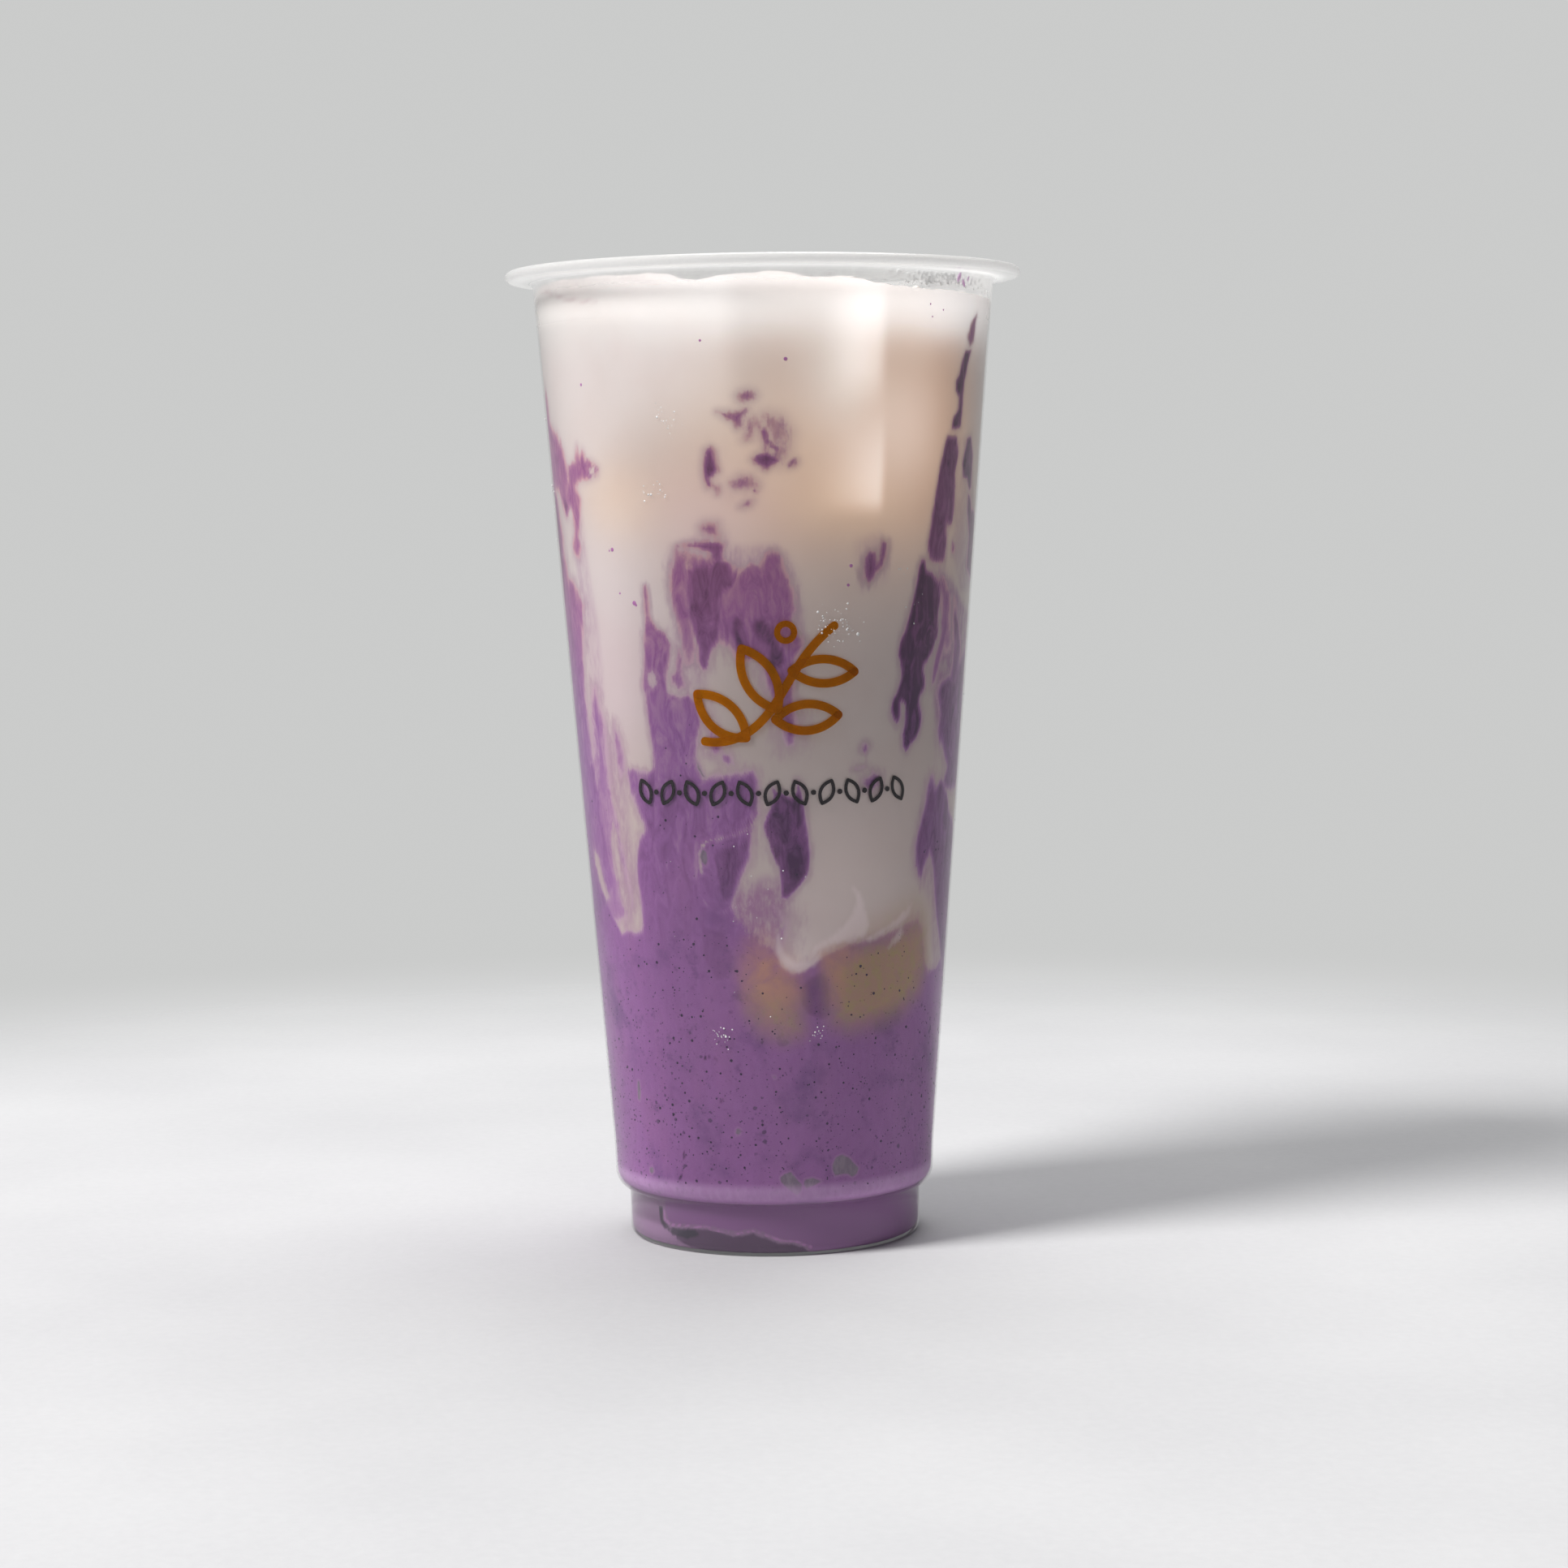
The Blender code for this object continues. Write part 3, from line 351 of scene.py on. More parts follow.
# ---------------------------------------------------------------- the cup
def cup_profile():
    """(r, z) of the cup's section, from the middle of the underside outwards, up, over the rim and down inside."""
    points = [(0.0, 1.0), (19.2, 1.0)]
    points += [(20.0 - 0.8 * math.cos(a), 1.0 - 1.0 * math.sin(a)) for a in np.linspace(0.35, 1.4, 4)]
    points += [(20.8, 0.0), (24.0, 0.0), (25.85, 0.0)]
    points += [(25.85 + 1.3 * math.sin(a), 1.3 - 1.3 * math.cos(a)) for a in np.linspace(0.2, math.pi / 2, 7)]
    points += [(27.15, 4.0), (27.15, 8.9)]
    points += [(27.15 + 2.65 * math.sin(a), 12.1 - 3.2 * math.cos(a)) for a in np.linspace(0.12, math.pi / 2, 12)]
    points += [(29.9, 15.0), (30.0, 17.0)]
    points += [(outer_r(z), z) for z in np.linspace(25, 176.0, 40)]
    points += [(42.72, 176.65), (43.32, 177.0), (43.8, 177.1), (46.5, 177.1)]
    points += [(46.55 + 0.95 * math.sin(a), 178.05 - 0.95 * math.cos(a)) for a in np.linspace(0.15, math.pi - 0.15, 12)]
    inner = outer_r(176.6) - WALL
    points += [(46.3, 179.0), (inner + 1.6, 179.0), (inner + 1.0, 178.93), (inner + 0.6, 178.7), (inner + 0.25, 178.1), (inner, 176.6)]
    points += [(outer_r(z) - WALL, z) for z in np.linspace(174, 20, 40)]
    points += [(29.1, 17.0), (29.0, 14.6)]
    points += [(27.15 + 1.77 * math.cos(a), 12.5 - 2.3 * math.sin(a)) for a in np.linspace(0, math.pi / 2 - 0.1, 9)]
    points += [(26.5, 10.0), (26.25, 9.2), (26.25, 6.0)]
    points += [(24.05 + 2.2 * math.cos(a), 4.4 - 2.2 * math.sin(a)) for a in np.linspace(0, math.pi / 2, 8)]
    points += [(12.0, 2.2), (0.0, 2.2)]
    return points


def revolve(name, profile, segments, material):
    points, faces, rows = [], [], []
    turn = np.linspace(0, 360, segments, endpoint=False)
    sx, sy = ring(turn)
    for r, z in profile:
        if r == 0:
            rows.append([len(points)])
            points.append((0, 0, z))
        else:
            rows.append(list(range(len(points), len(points) + segments)))
            points += [(r * a, r * b, z) for a, b in zip(sx, sy)]
    for one, two in zip(rows, rows[1:]):
        for i in range(segments):
            j = (i + 1) % segments
            if len(one) == 1:
                faces.append((one[0], two[j], two[i]))
            elif len(two) == 1:
                faces.append((one[i], one[j], two[0]))
            else:
                faces.append((one[i], one[j], two[j], two[i]))
    return mesh_of(name, points, faces, material)


def cup_material():
    """Clear polypropylene: see-through, slightly milky, milkier on the rolled rim, with faint frost and haze."""
    s = Shader("clear_plastic")
    where = s.spot()
    split = s.node("ShaderNodeSeparateXYZ", {"Vector": where})
    x, y, z = (split.outputs[i] for i in range(3))
    radius = s.math("SQRT", s.math("ADD", s.math("MULTIPLY", x, x), s.math("MULTIPLY", y, y)))
    on_rim = s.math("MULTIPLY", s.step(z, 176.0, 177.3), s.step(radius, 42.2, 43.3))
    haze = s.noise(where, 0.12, 3.0, 0.6)
    fine = s.noise(where, 1.6, 2.0, 0.5)
    wall_milk = s.math("MULTIPLY_ADD", haze, 0.05, 0.015)
    upper = s.math("MULTIPLY", s.step(z, 173.4, 175.4), s.step(haze, 0.35, 0.65, 0.22, 0.30))
    wall_milk = s.math("ADD", wall_milk, upper)
    rim_milk = s.math("MULTIPLY_ADD", fine, 0.06, 0.80)
    milk = s.node("ShaderNodeMix", {0: on_rim, 2: wall_milk, 3: rim_milk}, data_type="FLOAT").outputs[0]
    bump = s.bump(s.math("ADD", s.math("MULTIPLY", haze, 1.0), s.math("MULTIPLY", fine, 0.05)), 0.25, 0.25)
    clear = s.node("ShaderNodeBsdfTransparent", {"Color": (0.985, 0.985, 0.985)})
    under_rim = s.math("MULTIPLY", s.step(z, 167.0, 171.5), s.math("SUBTRACT", 1.0, on_rim))
    gloss = s.node("ShaderNodeBsdfGlossy", {"Color": (1, 1, 1), "Roughness": s.math("MULTIPLY_ADD", under_rim, 0.38, 0.12), "Normal": bump})
    body = s.node("ShaderNodeBsdfDiffuse", {"Color": (0.97, 0.97, 0.965), "Normal": bump})
    through = s.node("ShaderNodeBsdfTranslucent", {"Color": (0.98, 0.98, 0.975)})
    soft = s.node("ShaderNodeMixShader", {0: 0.72, 1: body.outputs[0], 2: through.outputs[0]})
    inside = s.node("ShaderNodeMixShader", {0: milk, 1: clear.outputs[0], 2: soft.outputs[0]})
    fresnel = s.node("ShaderNodeFresnel", {"IOR": 1.38})
    share = s.math("MULTIPLY", fresnel.outputs[0], s.math("MULTIPLY_ADD", under_rim, -0.20, 0.75), clamp=True)
    return s.done(s.node("ShaderNodeMixShader", {0: share, 1: inside.outputs[0], 2: gloss.outputs[0]}).outputs[0])


# ---------------------------------------------------------------- the drink
def inner_profile():
    """(r, z) of the inside of the cup from the floor's edge up to the rim, in short steps."""
    points = [(24.05 + 2.2 * math.sin(a), 4.4 - 2.2 * math.cos(a)) for a in np.linspace(0, math.pi / 2, 9)]
    points += [(26.25, 9.2), (26.5, 10.0)]
    points += [(27.15 + 1.77 * math.sin(a), 12.5 - 2.3 * math.cos(a)) for a in np.linspace(0.1, math.pi / 2, 9)]
    points += [(29.0, 14.6), (29.1, 17.0)]
    points += [(outer_r(z) - WALL, z) for z in np.linspace(22, 178, 60)]
    points = np.array(points)
    along = np.concatenate([[0], np.cumsum(np.hypot(*np.diff(points, axis=0).T))])
    fine = np.arange(0, along[-1], 0.1)
    line = np.stack([np.interp(fine, along, points[:, k]) for k in (0, 1)], 1)
    way = np.gradient(line, axis=0)
    way /= np.linalg.norm(way, axis=1)[:, None]
    line = line + 0.55 * np.stack([way[:, 1], -way[:, 0]], 1)  # reaches into the wall, so that no clear edge shows
    # In the foot the thick plastic magnifies the drink until it fills the whole corner.
    corner = [(21.4, 0.5), (25.7, 0.45), (26.45, 0.8), (26.85, 1.7), (26.9, 3.0)]
    line = np.vstack([corner, line[line[:, 1] > 4.6]])
    line[:, 0] = np.where(line[:, 1] < 9.0, np.maximum(line[:, 0], np.where(line[:, 1] > 3.0, 26.9, 0)), line[:, 0])
    fine = np.concatenate([[0], np.cumsum(np.hypot(*np.diff(line, axis=0).T))])
    return fine, line


ALONG, SKIN = inner_profile()


def along_at(z):
    return np.interp(z, SKIN[:, 1], ALONG)


def boundary(theta):
    """Height on the wall where the taro gives way to the milk."""
    theta = np.asarray(theta, float)
    top = np.full(theta.shape, INTERFACE_BASE)
    for angle, height, width in LOBES:
        away = (theta - angle + 180) % 360 - 180
        top = np.maximum(top, INTERFACE_BASE + (height - INTERFACE_BASE) * np.exp(-((away / width) ** 2)))
    return top + 2 * np.sin(np.radians(5 * theta + 40))


FRONT, BACK = 264, 124
THETA = np.concatenate([np.linspace(-92, 92, FRONT, endpoint=False), np.linspace(92, 268, BACK, endpoint=False)])
THETA = (THETA + 180) % 360 - 180
TARO_ROWS, MILK_ROWS = 150, 165
ROUND_MM = 36.0 * math.pi / 180  # millimetres on the wall for one degree, near enough at every height


def inside_distance(outline, theta, z):
    """Signed distance in mm to an outline on the wall, positive inside."""
    corners = np.array(outline, float)
    a = corners * (ROUND_MM, 1.0)
    b = np.roll(a, -1, axis=0)
    away = (theta - corners[:, 0].mean() + 180) % 360 - 180 + corners[:, 0].mean()
    p = np.stack([away * ROUND_MM, z], 1)
    near = ((p > a.min(0) - 7) & (p < a.max(0) + 7)).all(1)
    out = np.full(len(p), -7.0)
    q = p[near]
    if not len(q):
        return out
    best = np.full(len(q), 1e9)
    odd = np.zeros(len(q), bool)
    for (ax, ay), (bx, by) in zip(a, b):
        ex, ey = bx - ax, by - ay
        t = np.clip(((q[:, 0] - ax) * ex + (q[:, 1] - ay) * ey) / max(ex * ex + ey * ey, 1e-9), 0, 1)
        best = np.minimum(best, np.hypot(q[:, 0] - ax - t * ex, q[:, 1] - ay - t * ey))
        crosses = (ay > q[:, 1]) != (by > q[:, 1])
        if ey != 0:
            odd ^= crosses & (q[:, 0] < ex * (q[:, 1] - ay) / ey + ax)
    out[near] = np.where(odd, best, -best)
    return out


def back_outlines():
    """Streaks for the side that isn't seen, in the manner of the front: narrow tapering tongues that hang and rise."""
    rng = np.random.default_rng(5)
    shapes = []
    for theta, low, high, wide, depth in (
        (102, 58, 104, 15, 0.50), (113, 60, 138, 8, 0.72), (127, 56, 84, 19, 0.48), (141, 60, 122, 12, 0.80),
        (157, 55, 96, 18, 0.52), (169, 60, 144, 7, 0.86), (-178, 56, 112, 13, 0.62), (-164, 52, 82, 20, 0.48),
        (-150, 60, 130, 10, 0.80), (-136, 56, 100, 17, 0.52), (-121, 60, 148, 7, 0.70), (-108, 56, 110, 15, 0.50),
    ):
        steps = np.linspace(0, 1, 12)
        width = wide * (1 - steps**1.8) * (0.80 + 0.34 * np.sin(steps * 8 + rng.uniform(0, 6))) + 0.5
        middle = theta + np.cumsum(rng.normal(0, 0.9, 12))
        height = low + (high - low) * steps
        left = list(zip(middle - width / 2 + rng.normal(0, 0.5, 12), height))
        right = list(zip(middle + width / 2 + rng.normal(0, 0.5, 12), height))
        shapes.append((f"tongue_{len(shapes)}", depth, 0.6, tuple(left + right[::-1])))
        for _ in range(3):
            t, h = theta + rng.normal(0, 6), rng.uniform(high - 6, min(high + 24, 164))
            around = np.linspace(0, 2 * math.pi, 9, endpoint=False)
            size = rng.uniform(0.5, 1.7) * (1 + 0.4 * rng.normal(size=9))
            fleck = tuple((t + a * math.cos(k) / ROUND_MM, h + 1.6 * a * math.sin(k)) for a, k in zip(size, around))
            shapes.append((f"fleck_back_{len(shapes)}", 0.5, 0.6, fleck))
    return shapes


# Soft patches of milk colour on the wall, some of them painted light: angle, height, half width mm, half height mm,
# sRGB, weight.
MILK_AND_PAINTED_LIGHT_PATCHES = (
    # Near-white along the top of the wall: painted light, the milk lit from above.
    (-30, 170, 70, 5.0, (241, 236, 231), 1.0),
    (52, 170.5, 22, 4.0, (246, 244, 244), 1.0),
    (-40, 160, 26, 13, (240, 229, 225), 1.0),
    (14, 143, 24, 17, (214, 184, 158), 1.35),
    (44, 149, 9, 14, (206, 170, 143), 1.5),
    (4, 158, 9, 7, (218, 198, 184), 0.8),
    # A near-white block: a painted highlight where sunk ice lights up.
    (18, 159, 5.5, 8.0, (250, 244, 238), 1.6),
    (36, 160, 5.0, 9.0, (207, 178, 154), 1.2),
    (20, 136, 8.5, 5.0, (236, 208, 182), 1.3),
    (-41, 136, 8.0, 6.0, (238, 212, 190), 0.8),
    (-48, 125, 16, 11, (225, 211, 208), 0.9),
    (-48, 106, 14, 12, (219, 203, 207), 0.9),
    (-12, 134, 12, 10, (219, 189, 190), 0.7),
    (12, 120, 16, 10, (205, 190, 184), 0.8),
    (24, 102, 18, 16, (196, 184, 181), 0.9),
    (24, 72, 16, 12, (206, 193, 191), 0.9),
    (12, 60, 9, 6, (214, 199, 199), 0.9),
)
MILK_BASE = (222, 207, 203)
# Painted glow that the milk gives off, standing for light carried down through the ice and out through the milk again:
# angle, height, half width mm, half height mm, strength.
PAINTED_GLOW = (
    (56, 171.0, 26, 7.4, 0.31),
    (4, 50, 9, 7, 0.20),
    (0, 171.5, 30, 7.0, 0.30),
    (-36, 166.0, 20, 12.0, 0.06),
    (16, 150, 28, 24, 0.36),
    (42, 150, 13, 22, 0.30),
    (-42, 138, 20, 26, 0.14),
    (-45, 105, 16, 22, 0.13),
    (-12, 134, 16, 14, 0.08),
    (16, 116, 18, 14, 0.05),
    (26, 96, 16, 20, 0.08),
    (22, 68, 16, 14, 0.12),
)


def milk_and_painted_light_colours(theta, z):
    total = np.tile(lin(*MILK_BASE), (len(z), 1)) * 0.25
    weights = np.full(len(z), 0.25)
    for angle, height, half_wide, half_high, colour, weight in MILK_AND_PAINTED_LIGHT_PATCHES:
        away = ((theta - angle + 180) % 360 - 180) * ROUND_MM
        w = weight * np.exp(-((away / half_wide) ** 2) - ((z - height) / half_high) ** 2)
        total += w[:, None] * lin(*colour)
        weights += w
    cooler = 1 + (smooth(106, 124, z) * smooth(16, -12, theta))[:, None] * np.array((0.003, 0.038, 0.060))
    return total / weights[:, None] * cooler


# Painted glow in blocks with one crisp side, standing for sunk ice lit up: left edge, right edge, lower edge and upper
# edge, each as (from, to) in degrees or mm, and strength.
PAINTED_GLOW_BLOCKS = (
    ((12.0, 26.0), (33.0, 28.4), (151.0, 161.0), (177.0, 169.0), 0.19),
    ((8.0, 32.0), (33.4, 30.2), (132.4, 137.0), (156.0, 137.5), 0.22),
    ((-48.0, -30.0), (-4.0, -12.0), (144.0, 160.0), (178.0, 175.0), 0.10),
)


def painted_glow_at(theta, z):
    total = np.zeros(len(z))
    for left, right, low, high, strength in PAINTED_GLOW_BLOCKS:
        away = (theta + 180) % 360 - 180
        block = smooth(left[0], left[1], away) * (1 - smooth(right[1], right[0], away))
        block = block * smooth(low[0], low[1], z) * (1 - smooth(high[1], high[0], z))
        total = total + strength * block
    for angle, height, half_wide, half_high, strength in PAINTED_GLOW:
        away = ((theta - angle + 180) % 360 - 180) * ROUND_MM
        total = total + strength * np.exp(-((away / half_wide) ** 2) - ((z - height) / half_high) ** 2)
    # A painted glow along the top of the wall, which lifts the shade under the rim.
    total = total + 0.30 * smooth(172.6, 175.2, z)
    return np.minimum(total, 0.85)


def wall_fields(theta, z):
    """The swirl, and the painted glow, as numbers at each point of the drink's skin."""
    theta, z = np.asarray(theta, float), np.asarray(z, float)
    cover = np.full(len(z), -6.0)
    depth = np.zeros(len(z))
    # Past the edge that can be seen the outlines fray and round off.
    side = np.sign(theta)
    frayed = 3.8 + 2.0 * np.sin(0.23 * z + 1.3 * side) + 1.5 * np.sin(0.61 * z - 0.8 * side) + 0.9 * np.sin(1.45 * z + 2.0 * side)
    frayed = np.maximum(frayed, 0.4) * smooth(79, 95, np.abs(theta))
    for name, dark, soft, outline in PURPLE + tuple(back_outlines()):
        d = inside_distance(outline, theta, z)
        if not name.startswith(("tongue", "fleck_back")):
            d = d - frayed
        d = d / soft
        if name == "mass_d":
            # Below the mass's outline the whole cup is purple, all the way round.
            d = np.where(z < 46, np.maximum(d, 46 - z), d)
        cover = np.maximum(cover, d)
        depth = np.maximum(depth, dark * smooth(-0.6, 1.2, d))
    # The unseen side: purple up to a wavy line.
    wave = 60 + 5 * np.sin(np.radians(3 * theta + 20)) + 3 * np.sin(np.radians(8 * theta + 70)) + 1.5 * np.sin(np.radians(19 * theta))
    behind = smooth(86, 96, np.abs(theta))
    d = (wave - z) / 0.7 * behind - 6 * (1 - behind)
    cover = np.maximum(cover, np.clip(d, -6, 6))
    depth = np.maximum(depth, 0.48 * smooth(-0.6, 1.2, d))
    for name, soft, outline in HOLES:
        cover = np.minimum(cover, -inside_distance(outline, theta, z) / soft)
    pocket = np.full(len(z), -6.0)
    for name, outline in POCKETS:
        pocket = np.maximum(pocket, inside_distance(outline, theta, z) / 0.3)
    brown = {"olive": np.zeros(len(z)), "orange": np.zeros(len(z))}
    for name, soft, weight, outline in BROWN:
        kind = name.split("_")[0]
        brown[kind] = np.maximum(brown[kind], weight * smooth(-1.6, 1.4, (inside_distance(outline, theta, z) + 0.8) / soft))
    wisp = np.full(len(z), -6.0)
    for name, outline in WISPS:
        wisp = np.maximum(wisp, inside_distance(outline, theta, z) / 0.35)
    veil = np.zeros(len(z))
    for name, strength, soft, outline in VEILS:
        veil = np.maximum(veil, strength * smooth(-1.0, 1.0, inside_distance(outline, theta, z) / soft))
    foot = {}
    for name, outline in FOOT:
        foot["foot_" + name] = np.clip(inside_distance(outline, theta, z) / (0.28 if name == "line" else 0.6), -6, 6)
    fields = {
        "cover": np.clip(cover, -6, 6),
        "depth": depth,
        "pocket": np.clip(pocket, -6, 6),
        "wisp": np.clip(wisp, -6, 6),
        "olive": brown["olive"],
        "orange": brown["orange"],
        "glow": painted_glow_at(theta, z),
        "veil": veil,
        **foot,
    }
    return fields


def top_height(x, y):
    """Height of the milk's surface: gentle ripples, a film that climbs the ice, and the hollows that the ice sits in."""
    z = SURFACE + 0.18 * np.sin(0.31 * x + 1.0) * np.cos(0.27 * y) + 0.09 * np.sin(0.9 * x - 0.6 * y) + 0.05 * np.sin(2.1 * y + 1.3 * x)
    for name, cx, cy, side, top, turn in ICE:
        a = math.radians(turn[2])
        u = (x - cx) * math.cos(a) + (y - cy) * math.sin(a)
        v = -(x - cx) * math.sin(a) + (y - cy) * math.cos(a)
        half, rounding = side / 2 - 0.4, 3.4
        qx, qy = np.abs(u) - half + rounding, np.abs(v) - half + rounding
        d = rounding - np.hypot(np.maximum(qx, 0), np.maximum(qy, 0)) - np.minimum(np.maximum(qx, qy), 0)
        z = z + 0.32 * np.exp(-((d / 1.1) ** 2)) - 4.6 * smooth(0.1, 3.4, d)
    return z


def drink_materials():
    """One material, used twice so that each part of the drink keeps its own slot."""
    made = []
    for name in ("milk_white", "taro_purple"):
        s = Shader(name)
        where = s.spot()
        tall = s.spot((1, 1, 0.38))
        slow = s.noise(tall, 0.30, 3.0, 0.55, 0.4)
        quick = s.noise(tall, 1.15, 3.0, 0.6)
        tiny = s.noise(where, 3.2, 2.0, 0.5)
        fibre = s.noise(s.spot((1, 1, 0.17)), 1.5, 4.0, 0.62, 0.35)
        height = s.node("ShaderNodeSeparateXYZ", {"Vector": where}).outputs[2]
        upper = s.step(height, 52.0, 84.0)
        shift = s.math("MULTIPLY_ADD", s.math("SUBTRACT", slow, 0.5), 1.7, 0.30)
        shift = s.math("MULTIPLY_ADD", s.math("SUBTRACT", quick, 0.5), 2.3, shift)
        shift = s.math("MULTIPLY_ADD", s.math("SUBTRACT", fibre, 0.5), 1.15, shift)
        shift = s.math("MULTIPLY_ADD", s.math("SUBTRACT", tiny, 0.5), 1.0, shift)
        edged = s.math("ADD", s.value("cover"), shift)
        inside = s.step(edged, -0.60, 0.70)
        film = s.math("MULTIPLY_ADD", s.math("SUBTRACT", quick, 0.5), 2.4, edged)
        film = s.node("ShaderNodeMix", {0: s.step(height, 122.0, 136.0), 2: film, 3: s.math("ADD", s.value("cover"), -0.3)}, data_type="FLOAT").outputs[0]
        halo = s.math("MULTIPLY", s.step(film, -3.0, 0.2), s.math("SUBTRACT", 1.0, inside))
        halo = s.math("MULTIPLY", halo, s.step(height, 122.0, 136.0, 1.0, 0.62))

        # Milk: the patches' colours, painted light among them, with faint cloudy variation.
        milk = s.colour("milk_col")
        cloud = s.noise(where, 0.09, 4.0, 0.6)
        milk = s.mix(s.step(cloud, 0.35, 0.75, 0.0, 0.22), milk, (0.93, 0.86, 0.84), "MULTIPLY")
        clean = milk
        milk = s.mix(s.math("MULTIPLY", halo, 0.44), milk, (0.56, 0.34, 0.48))
        brush = s.math("ADD", s.math("MULTIPLY", fibre, 0.12), s.math("ADD", s.math("MULTIPLY", slow, 0.43), s.math("MULTIPLY", quick, 0.45)))
        veil = s.math("MULTIPLY", s.value("veil"), s.step(brush, 0.38, 0.58, 0.42, 1.12), clamp=True)
        milk = s.mix(veil, milk, s.mix(s.step(height, 124.0, 138.0), (0.46, 0.235, 0.42), (0.50, 0.27, 0.33)))

        # Purple: depth of colour, marbled: paler towards its edges, with darker threads in its heart.
        marble = s.noise(tall, 0.42, 4.0, 0.6, 1.2)
        thread = s.math("ADD", s.math("MULTIPLY", marble, 0.88), s.math("MULTIPLY", fibre, 0.12))
        swing = s.math("MULTIPLY_ADD", upper, 0.95, 0.22)
        depth = s.math("MULTIPLY_ADD", s.math("SUBTRACT", thread, 0.5), swing, s.value("depth"))
        fresh = s.math("MULTIPLY", s.step(edged, 2.6, 0.2), upper)
        depth = s.math("SUBTRACT", depth, s.math("MULTIPLY", fresh, 0.16), clamp=True)
        purple = s.ramp(
            depth,
            (
                (0.0, (0.70, 0.49, 0.62)),
                (0.2, (0.555, 0.315, 0.535)),
                (0.45, (0.418, 0.174, 0.468)),
                (0.78, (0.235, 0.084, 0.258)),
                (0.98, (0.100, 0.034, 0.120)),
            ),
        )
        # Higher up, the purple is thinner and turns to plum.
        purple = s.mix(s.step(height, 92.0, 132.0), purple, s.mix(1.0, purple, (1.14, 0.99, 0.86), "MULTIPLY"))
        pinkish = s.noise(tall, 0.16, 2.0, 0.5)
        purple = s.mix(s.step(pinkish, 0.5, 0.75, 0.0, 0.20), purple, (0.45, 0.19, 0.42))
        purple = s.mix(s.math("MULTIPLY", fresh, s.step(marble, 0.42, 0.66, 0.03, 0.40)), purple, (0.52, 0.25, 0.48))
        # Lower down it is thick and even, with soft bluish clouds.
        clouds = s.noise(where, 0.10, 4.0, 0.62)
        lower = s.math("SUBTRACT", 1.0, upper)
        purple = s.mix(s.math("MULTIPLY", lower, s.step(clouds, 0.48, 0.70, 0.0, 0.55)), purple, (0.185, 0.080, 0.255))
        purple = s.mix(s.math("MULTIPLY", lower, s.step(clouds, 0.44, 0.26, 0.0, 0.36)), purple, (0.45, 0.22, 0.52))

        # Fine dark grains, thicker on the ground towards the bottom.
        ragged = s.math("MULTIPLY", s.math("SUBTRACT", tiny, 0.5), 0.35)
        grains = s.cells(where, 0.62)
        herd = s.step(s.noise(where, 0.13, 3.0, 0.6), 0.38, 0.60, 0.35, 1.15)
        size = s.math("MULTIPLY", s.node("ShaderNodeSeparateColor", {0: grains.outputs["Color"]}).outputs[0], s.math("MULTIPLY", herd, s.step(height, 100.0, 10.0, 0.13, 0.26)))
        grain = s.step(s.math("ADD", s.math("SUBTRACT", size, grains.outputs["Distance"]), ragged), -0.02, 0.06)
        dust = s.cells(where, 1.2)
        speck = s.step(s.math("ADD", s.math("SUBTRACT", s.math("MULTIPLY", s.node("ShaderNodeSeparateColor", {0: dust.outputs["Color"]}).outputs[1], 0.20), dust.outputs["Distance"]), ragged), -0.04, 0.08)
        smudge = s.step(s.noise(where, 0.75, 4.0, 0.7), 0.60, 0.72)
        stain = s.math("MULTIPLY", s.step(s.noise(where, 0.26, 4.0, 0.62), 0.60, 0.74), lower)
        purple = s.mix(s.math("MULTIPLY", stain, 0.42), purple, (0.13, 0.062, 0.185))
        thick = s.step(height, 70.0, 25.0, 0.25, 1.0)
        dotted = s.math("MAXIMUM", s.math("MULTIPLY", grain, 0.66), s.math("MAXIMUM", s.math("MULTIPLY", speck, 0.42), s.math("MULTIPLY", smudge, 0.50)))
        purple = s.mix(s.math("MULTIPLY", dotted, thick), purple, (0.066, 0.034, 0.098))

        colour = s.mix(inside, milk, purple)

        # Where taro and milk have mixed to brown and olive.
        blotch = s.noise(where, 0.22, 4.0, 0.6, 0.6)
        worn = s.step(blotch, 0.30, 0.62, 0.78, 1.0)
        mottled = s.noise(where, 0.5, 3.0, 0.6)
        olive = s.mix(s.step(mottled, 0.4, 0.66), (0.53, 0.33, 0.25), (0.50, 0.365, 0.21))
        colour = s.mix(s.math("MULTIPLY", s.value("olive"), worn, clamp=True), colour, olive)
        colour = s.mix(s.math("MULTIPLY", s.value("orange"), s.step(blotch, 0.30, 0.64, 0.42, 0.98), clamp=True), colour, (0.66, 0.355, 0.275))
        wisp = s.step(s.math("MULTIPLY_ADD", s.math("SUBTRACT", quick, 0.5), 4.0, s.value("wisp")), -1.6, 2.0)
        colour = s.mix(s.math("MULTIPLY", wisp, 0.62), colour, (0.84, 0.72, 0.74))

        # Little pockets of air against the wall: grey-green, with a dark rim.
        pocket = s.math("MULTIPLY_ADD", s.math("SUBTRACT", tiny, 0.5), 0.8, s.value("pocket"))
        rim = s.step(pocket, -1.3, -0.2)
        core = s.step(pocket, 0.0, 1.0)
        colour = s.mix(s.math("MULTIPLY", rim, 0.42), colour, (0.50, 0.27, 0.50))
        colour = s.mix(s.math("MULTIPLY", core, 0.82), colour, s.mix(s.step(quick, 0.4, 0.62), (0.225, 0.19, 0.235), (0.30, 0.26, 0.30)))
